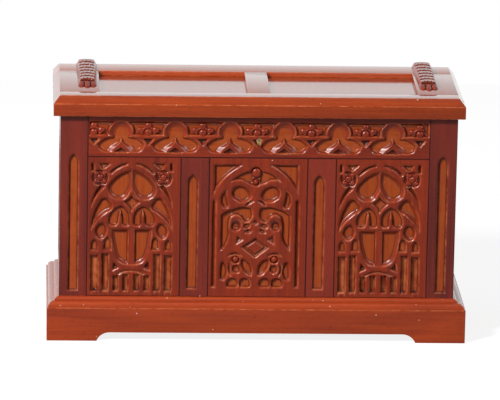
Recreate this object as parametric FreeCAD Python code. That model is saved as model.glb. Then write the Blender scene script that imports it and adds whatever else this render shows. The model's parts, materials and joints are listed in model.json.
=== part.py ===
import FreeCAD, Part
import math
import os
from FreeCAD import Vector

# Carved Gothic donation chest, a table-top piece. All sizes in millimetres.
# X runs across the front, Y from front to back, Z up. The origin is on the floor, below the middle.

# Carcase
BODY_WIDTH = 396.0
BODY_DEPTH = 144.0
BODY_TOP = 229.5
FOOT_BLOCK_HEIGHT = 12.0
FOOT_BLOCK_MARGIN = 2.0
POST_WIDTH = 27.5
POST_DEPTH = 22.0

# Front frame and its carved panels
FRONT_FRAME_THICK = 19.0
FRIEZE_HEIGHT = 42.5
SIDE_PANEL_WIDTH = 93.0
MUNTIN_WIDTH = 28.5
FRONT_PANEL_THICK = 14.0
FRONT_BOTTOM_RAIL_HEIGHT = 25.0
TONGUE_SETBACK = 6.0
TONGUE_THICK = 5.0
TONGUE_LENGTH = 5.0

# Plain end and back frames
BACK_FRAME_THICK = 16.0
PLAIN_PANEL_THICK = 8.0
PLAIN_PANEL_SETBACK = 6.0
PLAIN_PANEL_TONGUE = 5.7
PLAIN_BOTTOM_RAIL_HEIGHT = 41.5

# Joinery shared by all frames
TENON_LENGTH = 10.0
TENON_THICK = 6.0
TENON_SHOULDER = 6.5
JOINT_END_GAP = 0.3

# Floor and its lining
FLOOR_UNDERSIDE = 30.0
FLOOR_THICK = 8.0
FLOOR_TONGUE = 4.7
FLOOR_POST_GAP = 0.4
LINING_THICK = 1.5
LINING_MARGIN = 0.5

# Bracket plinth and base moulding
PLINTH_THICK = 12.0
PLINTH_HEIGHT = 33.5
MOULDING_HEIGHT = 10.0
FRONT_FOOT_LENGTH = 50.0
END_FOOT_LENGTH = 44.0
BRACKET_RISE = 8.8
BRACKET_RADIUS = 14.0

# Lid
LID_OVERHANG = 7.0
LID_THICK = 20.0
LID_CHAMFER_ACROSS = 6.3
LID_CHAMFER_DOWN = 7.5
LID_FRONT_RAIL_WIDTH = 23.0
LID_BACK_RAIL_WIDTH = 39.0
LID_STILE_WIDTH = 46.0
LID_MUNTIN_WIDTH = 23.0
LID_PANEL_SUNK = 5.0
LID_PANEL_THICK = 7.0
LID_PANEL_TONGUE = 5.7
LID_TENON_MARGIN = 9.0

# Leaf carvings planted on the lid
LEAF_BACK_WIDTH = 21.0
LEAF_FRONT_WIDTH = 18.6
LEAF_HEIGHT = 6.0
LEAF_STEP = 1.3
LEAF_ROWS = 6
LEAF_LENGTH = 109.0
LEAF_NOSE = 20.0
LEAF_LOBE_RADIUS = 4.4
LEAF_LOBE_TIP_RADIUS = 2.2
LEAF_SIDE_LOBE_SHORT = 4.0
LEAF_LOBE_BED = 1.0
LEAF_EDGE_MARGIN = 1.6
LEAF_BACK_MARGIN = 10.0

# Money slots and their plates
SLOT_LENGTH = 64.0
SLOT_WIDTH = 5.6
SLOT_EASE = 0.8
SLOT_PLATE_LENGTH = 90.0
SLOT_PLATE_WIDTH = 15.0
SLOT_PLATE_THICK = 1.2
SLOT_PLATE_FROM_RAIL = 1.0
SLOT_PLATE_SCREW_INSET = 5.0

# Butt hinges
HINGE_LENGTH = 36.0
HINGE_LEAF_WIDTH = 13.0
HINGE_LEAF_THICK = 1.2
HINGE_INSET = 73.0
HINGE_KNUCKLES = 5
KNUCKLE_RADIUS = 2.4
KNUCKLE_GAP = 0.2
KNUCKLE_SWEEP_GAP = 0.4
HINGE_PIN_RADIUS = 1.2
HINGE_PIN_FIT = 0.05
HINGE_SCREW_SPACING = 12.0
LID_STOP_ANGLE = 105.0

# Countersunk wood screws
SCREW_HEAD_RADIUS = 2.0
SCREW_HEAD_DEPTH = 1.0
SCREW_SHANK_RADIUS = 1.0
SCREW_LENGTH = 7.0
SCREW_DRIVE_WIDTH = 0.5
SCREW_DRIVE_DEPTH = 0.4
SCREW_FIT = 0.04

# Box lock let into the back of the frieze
LOCK_WIDTH = 72.0
LOCK_HEIGHT = 36.0
LOCK_DEPTH = 11.0
LOCK_WALL = 1.5
LOCK_RECESS_EASE = 0.2
LOCK_LIP = 9.0
LOCK_CORNER = 4.6
LOCK_CAP_SCREW_LENGTH = 5.0
LOCK_LEDGE = 2.0
BARREL_DROP = 25.5
BARREL_RADIUS = 2.5
BARREL_DISC_RADIUS = 7.8
BARREL_DISC_THICK = 2.0
BARREL_FIT = 0.05
BARREL_TURN = 90.0
CAM_PIN_RADIUS = 1.5
CAM_PIN_EASE = 0.4
BOLT_THROW = 8.0
BOLT_THICK = 2.4
BOLT_BAR_HEIGHT = 6.5
BOLT_PRONG_HEIGHT = 4.0
BOLT_PRONG_LENGTH = 12.0
BOLT_POST_WIDTH = 4.0
BOLT_RUN_GAP = 0.4
STAPLE_SPREAD = 32.0
STAPLE_THICK = 2.0
STAPLE_LENGTH = 15.0
STAPLE_WALL = 3.0
STAPLE_DEPTH = 5.0
STAPLE_SWING_GAP = 1.2
LINK_PLATE_LENGTH = 64.0
LINK_PLATE_WIDTH = 12.0
LINK_PLATE_THICK = 1.5
LINK_PLATE_SCREW_SPREAD = 52.0
KEYHOLE_RADIUS = 1.7
KEYHOLE_SLOT_WIDTH = 1.5
KEYHOLE_SLOT_DROP = 4.4
KEYHOLE_WALL = 1.0

# Carving on the front
CARVING_DEPTH = 4.5
POST_LANCET_WIDTH = 9.2
POST_LANCET_FOOT = 8.0
POST_LANCET_TOP = 145.5
MUNTIN_LANCET_WIDTH = 10.3
MUNTIN_LANCET_FOOT = 10.0
MUNTIN_LANCET_TOP = 125.5
FRIEZE_BAYS = 6
FRIEZE_END_MARGIN = 7.9
SIDE_DRAWN_WIDTH = 93.0
CENTRE_DRAWN_WIDTH = 98.0
PANEL_DRAWN_HEIGHT = 143.5
FRIEZE_DRAWN_HEIGHT = 42.5
FRIEZE_DRAWN_PITCH = 54.2

# Places that follow from the sizes above
HALF_W = BODY_WIDTH / 2
HALF_D = BODY_DEPTH / 2
FRONT = -HALF_D
POST_X = HALF_W - POST_WIDTH
POST_Y = HALF_D - POST_DEPTH
BASE_TOP = PLINTH_HEIGHT + MOULDING_HEIGHT
FRIEZE_FOOT = BODY_TOP - FRIEZE_HEIGHT
FRIEZE_BAY_PITCH = 2 * (POST_X - FRIEZE_END_MARGIN) / FRIEZE_BAYS
MUNTIN_OUTER = POST_X - SIDE_PANEL_WIDTH
MUNTIN_INNER = MUNTIN_OUTER - MUNTIN_WIDTH
MUNTIN_X = (MUNTIN_OUTER + MUNTIN_INNER) / 2
SIDE_PANEL_X = (POST_X + MUNTIN_OUTER) / 2
FRAME_FOOT = BASE_TOP - FRONT_BOTTOM_RAIL_HEIGHT
PLAIN_PANEL_FOOT = FRAME_FOOT + PLAIN_BOTTOM_RAIL_HEIGHT
FLOOR_TOP = FLOOR_UNDERSIDE + FLOOR_THICK
FRONT_INSIDE = FRONT + FRONT_FRAME_THICK
BACK_INSIDE = HALF_D - BACK_FRAME_THICK
END_INSIDE = HALF_W - BACK_FRAME_THICK
LID_X = HALF_W + LID_OVERHANG
LID_Y = HALF_D + LID_OVERHANG
LID_TOP = BODY_TOP + LID_THICK
LID_FRONT_EDGE = -LID_Y + LID_FRONT_RAIL_WIDTH
LID_BACK_EDGE = LID_Y - LID_BACK_RAIL_WIDTH
LID_STILE_EDGE = LID_X - LID_STILE_WIDTH
LID_PANEL_TOP = LID_TOP - LID_PANEL_SUNK
LID_PANEL_FOOT = LID_PANEL_TOP - LID_PANEL_THICK
SLOT_X = (LID_STILE_EDGE + LID_MUNTIN_WIDTH / 2) / 2
SLOT_Y = LID_FRONT_EDGE + SLOT_PLATE_FROM_RAIL + SLOT_PLATE_WIDTH / 2
STOP_SINE = math.sin(math.radians(LID_STOP_ANGLE - 90))
HINGE_Y = HALF_D + LID_OVERHANG * STOP_SINE / (1 + STOP_SINE)
HINGE_X = HALF_W - HINGE_INSET
LOCK_BACK = FRONT_INSIDE
LOCK_FACE = LOCK_BACK - LOCK_DEPTH
LOCK_FOOT = BODY_TOP - LOCK_HEIGHT
LOCK_ROOM_FACE = LOCK_FACE + LOCK_WALL
LOCK_ROOM_BACK = LOCK_BACK - LOCK_WALL
LOCK_ROOM_X = LOCK_WIDTH / 2 - LOCK_WALL
BARREL_Z = BODY_TOP - BARREL_DROP
DISC_FACE = LOCK_ROOM_FACE + BOLT_RUN_GAP
DISC_BACK = DISC_FACE + BARREL_DISC_THICK
BOLT_FACE = DISC_BACK + BOLT_RUN_GAP
BOLT_BACK = BOLT_FACE + BOLT_THICK
HALF_TURN = math.radians(BARREL_TURN / 2)
CAM_RADIUS = BOLT_THROW / 2 / math.sin(HALF_TURN)
CAM_X = -BOLT_THROW / 2
CAM_Z = BARREL_Z + CAM_RADIUS * math.cos(HALF_TURN)
BOLT_FOOT = BARREL_Z + BARREL_RADIUS + BOLT_RUN_GAP
STAPLE_FACE = (BOLT_FACE + BOLT_BACK) / 2 - STAPLE_DEPTH / 2
STAPLE_BACK = STAPLE_FACE + STAPLE_DEPTH
STAPLE_FOOT = BODY_TOP - STAPLE_LENGTH
EYE_FOOT = STAPLE_FOOT + STAPLE_WALL
LEAF_X = LID_STILE_EDGE + LEAF_EDGE_MARGIN + LEAF_BACK_WIDTH / 2
LEAF_BACK = LID_Y - LEAF_BACK_MARGIN
LEAF_FRONT = LEAF_BACK - LEAF_LENGTH

PARTS = {}


def block(x_range, y_range, z_range):
    """A box from its three ranges."""
    corner = Vector(min(x_range), min(y_range), min(z_range))
    size = [abs(r[1] - r[0]) for r in (x_range, y_range, z_range)]
    return Part.makeBox(size[0], size[1], size[2], corner)


def around(centre, width):
    """The range of a width centred on a place."""
    return (centre - width / 2, centre + width / 2)


def joined(solids):
    """One solid from several that touch or overlap."""
    return solids[0].fuse(solids[1:]).removeSplitter()


def cut_away(solid, tools):
    """A solid with every tool cut out of it."""
    return solid.cut(tools)


def mirrored(shape):
    """The same piece on the other side of the middle."""
    return shape.mirror(Vector(0, 0, 0), Vector(1, 0, 0))


def prism(points, z_range):
    """A plan outline raised between two heights."""
    ring = [Vector(x, y, z_range[0]) for x, y in points]
    face = Part.Face(Part.makePolygon(ring + ring[:1]))
    return face.extrude(Vector(0, 0, z_range[1] - z_range[0]))


def screw_seat(head, into, length=SCREW_LENGTH):
    """The hole that a countersunk screw fills, head flush at a point."""
    cone = Part.makeCone(SCREW_HEAD_RADIUS + SCREW_FIT, SCREW_SHANK_RADIUS + SCREW_FIT,
                         SCREW_HEAD_DEPTH, head, into)
    shank = Part.makeCylinder(SCREW_SHANK_RADIUS + SCREW_FIT, length + SCREW_FIT, head, into)
    return cone.fuse(shank)


def screw(head, into, length=SCREW_LENGTH):
    """A slotted countersunk screw."""
    cone = Part.makeCone(SCREW_HEAD_RADIUS, SCREW_SHANK_RADIUS, SCREW_HEAD_DEPTH, head, into)
    shank = Part.makeCylinder(SCREW_SHANK_RADIUS, length, head, into)
    drive_size = 2 * SCREW_HEAD_RADIUS
    drive = Part.makeBox(drive_size, SCREW_DRIVE_WIDTH, 2 * SCREW_DRIVE_DEPTH)
    drive.translate(Vector(-drive_size / 2, -SCREW_DRIVE_WIDTH / 2, -SCREW_DRIVE_DEPTH))
    drive.Placement = FreeCAD.Placement(head, FreeCAD.Rotation(Vector(0, 0, 1), into)).multiply(
        drive.Placement)
    return cone.fuse(shank).removeSplitter().cut(drive)


# Carved outlines on the front

def carved(start, steps, place):
    """A hollow with the outline drawn from a start point.

    A step of two numbers is a straight line to that point. A step of two points is an arc through the
    first to the second.
    """
    edges = []
    here = start
    for step in steps + [start]:
        if isinstance(step[0], tuple):
            middle, end = step
            edges.append(Part.Arc(place(here), place(middle), place(end)).toShape())
        else:
            end = step
            if end != here:
                edges.append(Part.makeLine(place(here), place(end)))
        here = end
    face = Part.Face(Part.Wire(edges))
    return face.extrude(Vector(0, CARVING_DEPTH + 1, 0))


def drawing(x_centre, z_foot, x_scale, z_scale):
    """Turns drawn points into points just in front of the carved face."""
    return lambda p: Vector(x_centre + p[0] * x_scale, FRONT - 1, z_foot + p[1] * z_scale)


def lancet(x_centre, z_foot, z_top, width, place):
    """A tall slot with a pointed arch for its head."""
    half = width / 2
    spring = z_top - width * 0.866
    left, right = x_centre - half, x_centre + half
    bulge = width * math.cos(math.radians(30))
    rise = width * math.sin(math.radians(30))
    return carved((left, z_foot),
                  [(right, z_foot), (right, spring),
                   ((left + bulge, spring + rise), (x_centre, z_top)),
                   ((right - bulge, spring + rise), (left, spring))], place)


def both_sides(draw, x_centre, z_foot, x_scale, z_scale):
    """Hollows drawn on the right half and again mirrored on the left half."""
    hollows = []
    for side in (1, -1):
        hollows += draw(drawing(x_centre, z_foot, side * x_scale, z_scale))
    return hollows


def side_tracery(place):
    """Right half of the flowing tracery in a side panel."""
    tear = carved((2.5, 129), [((14.5, 121), (21.0, 108.0)), ((17.0, 101.5), (9.0, 103.5)),
                               ((4.2, 114), (2.5, 129))], place)
    edge_slot = carved((27.5, 115.5), [((37.0, 107), (41.0, 94)), (37.5, 94),
                                       ((33.5, 105), (27.5, 115.5))], place)
    dagger = carved((41.0, 70), [((37.5, 88), (27.5, 99.5)), ((21.0, 101), (19.0, 95)),
                                 ((31.0, 86), (41.0, 70))], place)
    heart = carved((12.8, 82), [(9.8, 77), ((6.4, 74.2), (3.6, 77.6)), ((5.6, 88), (12.8, 92.5)),
                                ((20.0, 88), (22.0, 77.6)), ((19.2, 74.2), (15.8, 77))], place)
    shield = carved((3.0, 68.5), [(19.5, 68.5), ((17.0, 50), (3.0, 38))], place)
    leaf = carved((29.5, 65), [((25.5, 73), (29.5, 80.5)), ((33.5, 73), (29.5, 65))], place)
    slots = [lancet(39.3, 46, 62, 5.4, place), lancet(25.8, 46, 60, 5.0, place),
             lancet(38.0, 6, 43, 7.0, place), lancet(26.2, 6, 43, 6.0, place),
             lancet(14.6, 6, 26, 4.6, place), lancet(4.2, 6, 26, 4.6, place)]
    return [tear, edge_slot, dagger, heart, shield, leaf] + slots


def centre_tracery(place):
    """Right half of the strapwork and foliage in the centre panel."""
    spandrel = carved((40.5, 136), [(14.0, 136), ((31.0, 125), (40.5, 106))], place)
    edge_slot = lancet(42.3, 9, 100, 4.2, place)
    wing = carved((4.5, 117), [((12.0, 118), (17.0, 113.6)), ((12.0, 125), (4.0, 127))], place)
    oval = carved((6.0, 107), [((13.5, 112.4), (21.0, 107)), ((13.5, 101.6), (6.0, 107))], place)
    crescent = carved((29.0, 110), [((35.0, 102), (33.5, 92)), ((30.0, 101), (29.0, 110))], place)
    leaf = carved((6.5, 92), [((18.0, 92), (19.5, 80)), ((10.0, 82), (6.5, 92))], place)
    eye = carved((16.2, 72), [((20.0, 75.8), (23.8, 72)), ((20.0, 68.2), (16.2, 72))], place)
    tall = carved((29.5, 48), [((26.0, 68), (29.5, 86)), ((34.5, 68), (29.5, 48))], place)
    outer = carved((31.0, 16), [((26.6, 27), (31.0, 38)), ((35.4, 27), (31.0, 16))], place)
    curl = carved((11.0, 36), [((21.5, 39), (24.0, 28)), ((19.5, 33), (11.0, 36))], place)
    feet = [carved((x - 5, 9), [(x + 5, 9), ((x, 17.5), (x - 5, 9))], place) for x in (10.0, 23.0)]
    return [spandrel, edge_slot, wing, oval, crescent, leaf, eye, tall, outer, curl] + feet


def frieze_bay(place):
    """One trefoil bay of the frieze, drawn about its own middle."""
    head = carved((-5.2, 25), [((0, 30.2), (5.2, 25)), ((0, 19.8), (-5.2, 25))], place)
    gusset = carved((-4.5, 4.8), [(4.5, 4.8), (0, 8.4)], place)
    return [head, gusset]


def frieze_lobe(place):
    """The long lower lobe on the right of a trefoil."""
    return [carved((2.2, 18.2), [((15.0, 18.6), (25.4, 7.6)), (9.0, 6.6),
                                 ((6.6, 13), (2.2, 18.2))], place)]


def frieze_spandrel(place):
    """The small hollow between two bays."""
    return [carved((0, 12.4), [(4.6, 20.6), (-4.6, 20.6)], place)]


def frieze_hollows():
    """All the hollows of the frieze."""
    x_scale = FRIEZE_BAY_PITCH / FRIEZE_DRAWN_PITCH
    z_scale = FRIEZE_HEIGHT / FRIEZE_DRAWN_HEIGHT
    hollows = []
    for bay in range(FRIEZE_BAYS):
        x = (bay - (FRIEZE_BAYS - 1) / 2) * FRIEZE_BAY_PITCH
        hollows += frieze_bay(drawing(x, FRIEZE_FOOT, x_scale, z_scale))
        hollows += both_sides(frieze_lobe, x, FRIEZE_FOOT, x_scale, z_scale)
        if bay > 0:
            between = x - FRIEZE_BAY_PITCH / 2
            hollows += frieze_spandrel(drawing(between, FRIEZE_FOOT, x_scale, z_scale))
    return hollows


# Carcase frame

def centred_tenon(thick):
    """The range of a tenon in the middle of a frame member, counted from its outer face."""
    return ((thick - TENON_THICK) / 2, (thick + TENON_THICK) / 2)


def corner_post(front):
    """The post on the right, at the front or at the back, with its mortises and grooves."""
    face = -1 if front else 1
    thick = FRONT_FRAME_THICK if front else BACK_FRAME_THICK
    post = block((POST_X, HALF_W), (face * POST_Y, face * HALF_D), (FOOT_BLOCK_HEIGHT, BODY_TOP))
    depth = TENON_LENGTH + JOINT_END_GAP
    near, far = [face * (HALF_D - t) for t in centred_tenon(thick)]
    end_near, end_far = [HALF_W - t for t in centred_tenon(BACK_FRAME_THICK)]
    bottom_top = BASE_TOP if front else PLAIN_PANEL_FOOT
    tools = []
    for foot, top in ((FRIEZE_FOOT, BODY_TOP), (FRAME_FOOT, bottom_top)):
        tall = (foot + TENON_SHOULDER, top - TENON_SHOULDER)
        tools.append(block((POST_X, POST_X + depth), (near, far), tall))
    for foot, top in ((FRIEZE_FOOT, BODY_TOP), (FRAME_FOOT, PLAIN_PANEL_FOOT)):
        tall = (foot + TENON_SHOULDER, top - TENON_SHOULDER)
        tools.append(block((end_near, end_far), (face * POST_Y, face * (POST_Y + depth)), tall))
    plain = PLAIN_PANEL_TONGUE + JOINT_END_GAP
    plain_tall = (PLAIN_PANEL_FOOT - plain, FRIEZE_FOOT + plain)
    end_groove = around(HALF_W - PLAIN_PANEL_SETBACK - PLAIN_PANEL_THICK / 2, PLAIN_PANEL_THICK)
    tools.append(block(end_groove, (face * POST_Y, face * (POST_Y + plain)), plain_tall))
    if front:
        groove = TONGUE_LENGTH + JOINT_END_GAP
        tools.append(block((POST_X, POST_X + groove),
                           (FRONT + TONGUE_SETBACK, FRONT + TONGUE_SETBACK + TONGUE_THICK),
                           (BASE_TOP - groove, FRIEZE_FOOT + groove)))
        place = drawing(0, BASE_TOP, 1, 1)
        tools.append(lancet(HALF_W - POST_WIDTH / 2, POST_LANCET_FOOT, POST_LANCET_TOP,
                            POST_LANCET_WIDTH, place))
    else:
        back_groove = around(HALF_D - PLAIN_PANEL_SETBACK - PLAIN_PANEL_THICK / 2, PLAIN_PANEL_THICK)
        tools.append(block((POST_X, POST_X + plain), back_groove, plain_tall))
    return cut_away(post, tools)


def front_muntin():
    """The upright between the right and centre panels, tenoned top and bottom."""
    near, far = [FRONT + t for t in centred_tenon(FRONT_FRAME_THICK)]
    upright = block((MUNTIN_INNER, MUNTIN_OUTER), (FRONT, FRONT_INSIDE), (BASE_TOP, FRIEZE_FOOT))
    tenon = block(around(MUNTIN_X, MUNTIN_WIDTH - 2 * TENON_SHOULDER), (near, far),
                  (BASE_TOP - TENON_LENGTH, FRIEZE_FOOT + TENON_LENGTH))
    groove = TONGUE_LENGTH + JOINT_END_GAP
    in_groove = (FRONT + TONGUE_SETBACK, FRONT + TONGUE_SETBACK + TONGUE_THICK)
    tools = [block((x, x + way * groove), in_groove, (BASE_TOP, FRIEZE_FOOT))
             for x, way in ((MUNTIN_INNER, 1), (MUNTIN_OUTER, -1))]
    tools.append(lancet(MUNTIN_X, MUNTIN_LANCET_FOOT, MUNTIN_LANCET_TOP, MUNTIN_LANCET_WIDTH,
                        drawing(0, BASE_TOP, 1, 1)))
    return cut_away(joined([upright, tenon]), tools)


def front_rail(foot, top, groove_at):
    """A rail across the front with end tenons, muntin mortises and a groove for the panels."""
    near, far = [FRONT + t for t in centred_tenon(FRONT_FRAME_THICK)]
    rail = block((-POST_X, POST_X), (FRONT, FRONT_INSIDE), (foot, top))
    tenon = block((-POST_X - TENON_LENGTH, POST_X + TENON_LENGTH), (near, far),
                  (foot + TENON_SHOULDER, top - TENON_SHOULDER))
    way = 1 if groove_at == foot else -1
    groove = TONGUE_LENGTH + JOINT_END_GAP
    tools = [block((-POST_X, POST_X),
                   (FRONT + TONGUE_SETBACK, FRONT + TONGUE_SETBACK + TONGUE_THICK),
                   (groove_at, groove_at + way * groove))]
    mortise = TENON_LENGTH + JOINT_END_GAP
    for x in (-MUNTIN_X, MUNTIN_X):
        tools.append(block(around(x, MUNTIN_WIDTH - 2 * TENON_SHOULDER), (near, far),
                           (groove_at, groove_at + way * mortise)))
    return cut_away(joined([rail, tenon]), tools)


def frieze_rail():
    """The carved top rail, with the room for the lock and its keyhole."""
    rail = front_rail(FRIEZE_FOOT, BODY_TOP, FRIEZE_FOOT)
    ease = LOCK_RECESS_EASE
    case_room = block((-LOCK_WIDTH / 2 - ease, LOCK_WIDTH / 2 + ease), (LOCK_FACE, LOCK_BACK),
                      (LOCK_FOOT - ease, BODY_TOP))
    lip_x = LOCK_WIDTH / 2 + LOCK_LIP + ease
    lip_room = block((-lip_x, lip_x), (LOCK_FACE, LOCK_BACK), (BODY_TOP - LOCK_WALL, BODY_TOP))
    tools = [case_room.fuse(lip_room), keyhole_outline(KEYHOLE_WALL, FRONT, LOCK_FACE)]
    tools += [screw_seat(p, Vector(0, 0, -1)) for p in lock_lip_screws()]
    return cut_away(cut_away(rail, tools), frieze_hollows())


def tracery_panel(x_centre, width, drawn_width, draw):
    """A carved panel flush with the front, tongued on all four edges."""
    x_range = around(x_centre, width)
    board = block(x_range, (FRONT, FRONT + FRONT_PANEL_THICK), (BASE_TOP, FRIEZE_FOOT))
    tongue = block((x_range[0] - TONGUE_LENGTH, x_range[1] + TONGUE_LENGTH),
                   (FRONT + TONGUE_SETBACK, FRONT + TONGUE_SETBACK + TONGUE_THICK),
                   (BASE_TOP - TONGUE_LENGTH, FRIEZE_FOOT + TONGUE_LENGTH))
    x_scale = width / drawn_width
    z_scale = (FRIEZE_FOOT - BASE_TOP) / PANEL_DRAWN_HEIGHT
    hollows = both_sides(draw, x_centre, BASE_TOP, x_scale, z_scale)
    if draw is side_tracery:
        eye = carved((0, 103.5), [((2.6, 98.6), (8.0, 96)), ((2.6, 93.4), (0, 88.5)),
                                  ((-2.6, 93.4), (-8.0, 96)), ((-2.6, 98.6), (0, 103.5))],
                     drawing(x_centre, BASE_TOP, x_scale, z_scale))
    else:
        eye = carved((0, 61), [(13.0, 52), (0, 43), (-13.0, 52)],
                     drawing(x_centre, BASE_TOP, x_scale, z_scale))
    return cut_away(joined([board, tongue]), hollows + [eye])


def floor_groove(x_range, y_range):
    """The groove that holds one edge of the floor board."""
    return block(x_range, y_range, (FLOOR_UNDERSIDE, FLOOR_TOP))


def front_bottom_rail():
    """The rail below the front panels, behind the plinth."""
    rail = front_rail(FRAME_FOOT, BASE_TOP, BASE_TOP)
    depth = FLOOR_TONGUE + JOINT_END_GAP
    return cut_away(rail, [floor_groove((-POST_X, POST_X), (FRONT_INSIDE - depth, FRONT_INSIDE))])


def plain_frame(span, foot, top, groove_at):
    """A plain rail of the back or an end, drawn along X with its outer face at Y = 0."""
    near, far = [-t for t in centred_tenon(BACK_FRAME_THICK)]
    rail = block((-span, span), (-BACK_FRAME_THICK, 0), (foot, top))
    tenon = block((-span - TENON_LENGTH, span + TENON_LENGTH), (near, far),
                  (foot + TENON_SHOULDER, top - TENON_SHOULDER))
    way = 1 if groove_at == foot else -1
    groove = PLAIN_PANEL_TONGUE + JOINT_END_GAP
    tools = [block((-span, span), (-PLAIN_PANEL_SETBACK - PLAIN_PANEL_THICK, -PLAIN_PANEL_SETBACK),
                   (groove_at, groove_at + way * groove))]
    if way < 0:
        depth = FLOOR_TONGUE + JOINT_END_GAP
        tools.append(floor_groove((-span, span), (-BACK_FRAME_THICK, -BACK_FRAME_THICK + depth)))
    return cut_away(joined([rail, tenon]), tools)


def plain_panel(span):
    """A plain panel of the back or an end, drawn like the rails around it."""
    return block((-span - PLAIN_PANEL_TONGUE, span + PLAIN_PANEL_TONGUE),
                 (-PLAIN_PANEL_SETBACK - PLAIN_PANEL_THICK, -PLAIN_PANEL_SETBACK),
                 (PLAIN_PANEL_FOOT - PLAIN_PANEL_TONGUE, FRIEZE_FOOT + PLAIN_PANEL_TONGUE))


def to_back(shape):
    """Stands a plain member, drawn along X, in the back."""
    shape.translate(Vector(0, HALF_D, 0))
    return shape


def to_right_end(shape):
    """Stands a plain member, drawn along X, in the right end."""
    shape.rotate(Vector(0, 0, 0), Vector(0, 0, 1), -90)
    shape.translate(Vector(HALF_W, 0, 0))
    return shape


def floor_board():
    """The floor, let into the bottom rails and notched round the posts."""
    x = END_INSIDE + FLOOR_TONGUE
    board = block((-x, x), (FRONT_INSIDE - FLOOR_TONGUE, BACK_INSIDE + FLOOR_TONGUE),
                  (FLOOR_UNDERSIDE, FLOOR_TOP))
    notches = []
    for x_way in (-1, 1):
        for y_way in (-1, 1):
            notches.append(block((x_way * (POST_X - FLOOR_POST_GAP), x_way * HALF_W),
                                 (y_way * (POST_Y - FLOOR_POST_GAP), y_way * HALF_D),
                                 (FLOOR_UNDERSIDE, FLOOR_TOP)))
    return cut_away(board, notches)


def build_carcase():
    """The framed box."""
    for place, front in (("front", True), ("back", False)):
        post = corner_post(front)
        PARTS[place + "_right_post"] = post
        PARTS[place + "_left_post"] = mirrored(post)
    muntin = front_muntin()
    PARTS["right_muntin"] = muntin
    PARTS["left_muntin"] = mirrored(muntin)
    PARTS["frieze_rail"] = frieze_rail()
    PARTS["front_bottom_rail"] = front_bottom_rail()
    PARTS["left_tracery_panel"] = tracery_panel(-SIDE_PANEL_X, SIDE_PANEL_WIDTH, SIDE_DRAWN_WIDTH,
                                                side_tracery)
    PARTS["right_tracery_panel"] = tracery_panel(SIDE_PANEL_X, SIDE_PANEL_WIDTH, SIDE_DRAWN_WIDTH,
                                                 side_tracery)
    PARTS["centre_tracery_panel"] = tracery_panel(0, 2 * MUNTIN_INNER, CENTRE_DRAWN_WIDTH,
                                                  centre_tracery)
    top_rail = to_back(plain_frame(POST_X, FRIEZE_FOOT, BODY_TOP, FRIEZE_FOOT))
    PARTS["back_top_rail"] = cut_away(top_rail, hinge_seats(-1))
    PARTS["back_bottom_rail"] = to_back(plain_frame(POST_X, FRAME_FOOT, PLAIN_PANEL_FOOT,
                                                    PLAIN_PANEL_FOOT))
    PARTS["back_panel"] = to_back(plain_panel(POST_X))
    ends = {"top_rail": plain_frame(POST_Y, FRIEZE_FOOT, BODY_TOP, FRIEZE_FOOT),
            "bottom_rail": plain_frame(POST_Y, FRAME_FOOT, PLAIN_PANEL_FOOT, PLAIN_PANEL_FOOT),
            "panel": plain_panel(POST_Y)}
    for name, shape in ends.items():
        right = to_right_end(shape)
        PARTS["right_end_" + name] = right
        PARTS["left_end_" + name] = mirrored(right)
    PARTS["floor_board"] = floor_board()
    PARTS["baize_lining"] = block(around(0, 2 * (END_INSIDE - LINING_MARGIN)),
                                  around(0, 2 * (POST_Y - LINING_MARGIN)),
                                  (FLOOR_TOP, FLOOR_TOP + LINING_THICK))
    blocks = []
    for x_way in (-1, 1):
        for y_way in (-1, 1):
            blocks.append(block((x_way * (POST_X - FOOT_BLOCK_MARGIN), x_way * HALF_W),
                                (y_way * (POST_Y - FOOT_BLOCK_MARGIN), y_way * HALF_D),
                                (0, FOOT_BLOCK_HEIGHT)))
    PARTS["foot_blocks"] = Part.makeCompound(blocks)


# Plinth and moulding

def mitred(inner, z_range):
    """The room of one mitred base piece in front of a face of the given half length."""
    outer = inner + PLINTH_THICK
    return prism([(-outer, -PLINTH_THICK), (outer, -PLINTH_THICK), (inner, 0), (-inner, 0)], z_range)


def bracket(half_gap):
    """The shaped gap between two bracket feet, cut right through a plinth board."""
    run = math.sqrt(BRACKET_RADIUS ** 2 - (BRACKET_RADIUS - BRACKET_RISE) ** 2)
    lean = math.asin(run / BRACKET_RADIUS) / 2
    half_run = BRACKET_RADIUS * math.sin(lean)
    half_rise = BRACKET_RADIUS * math.cos(lean) - (BRACKET_RADIUS - BRACKET_RISE)
    y = -PLINTH_THICK - 1
    inner = half_gap - run
    right = [Vector(half_gap, y, 0), Vector(inner + half_run, y, half_rise), Vector(inner, y, BRACKET_RISE)]
    left = [Vector(-p.x, p.y, p.z) for p in right]
    edges = [Part.makeLine(left[0], right[0]), Part.Arc(*right).toShape(),
             Part.makeLine(right[2], left[2]), Part.Arc(left[2], left[1], left[0]).toShape()]
    return Part.Face(Part.Wire(edges)).extrude(Vector(0, PLINTH_THICK + 2, 0))


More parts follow.
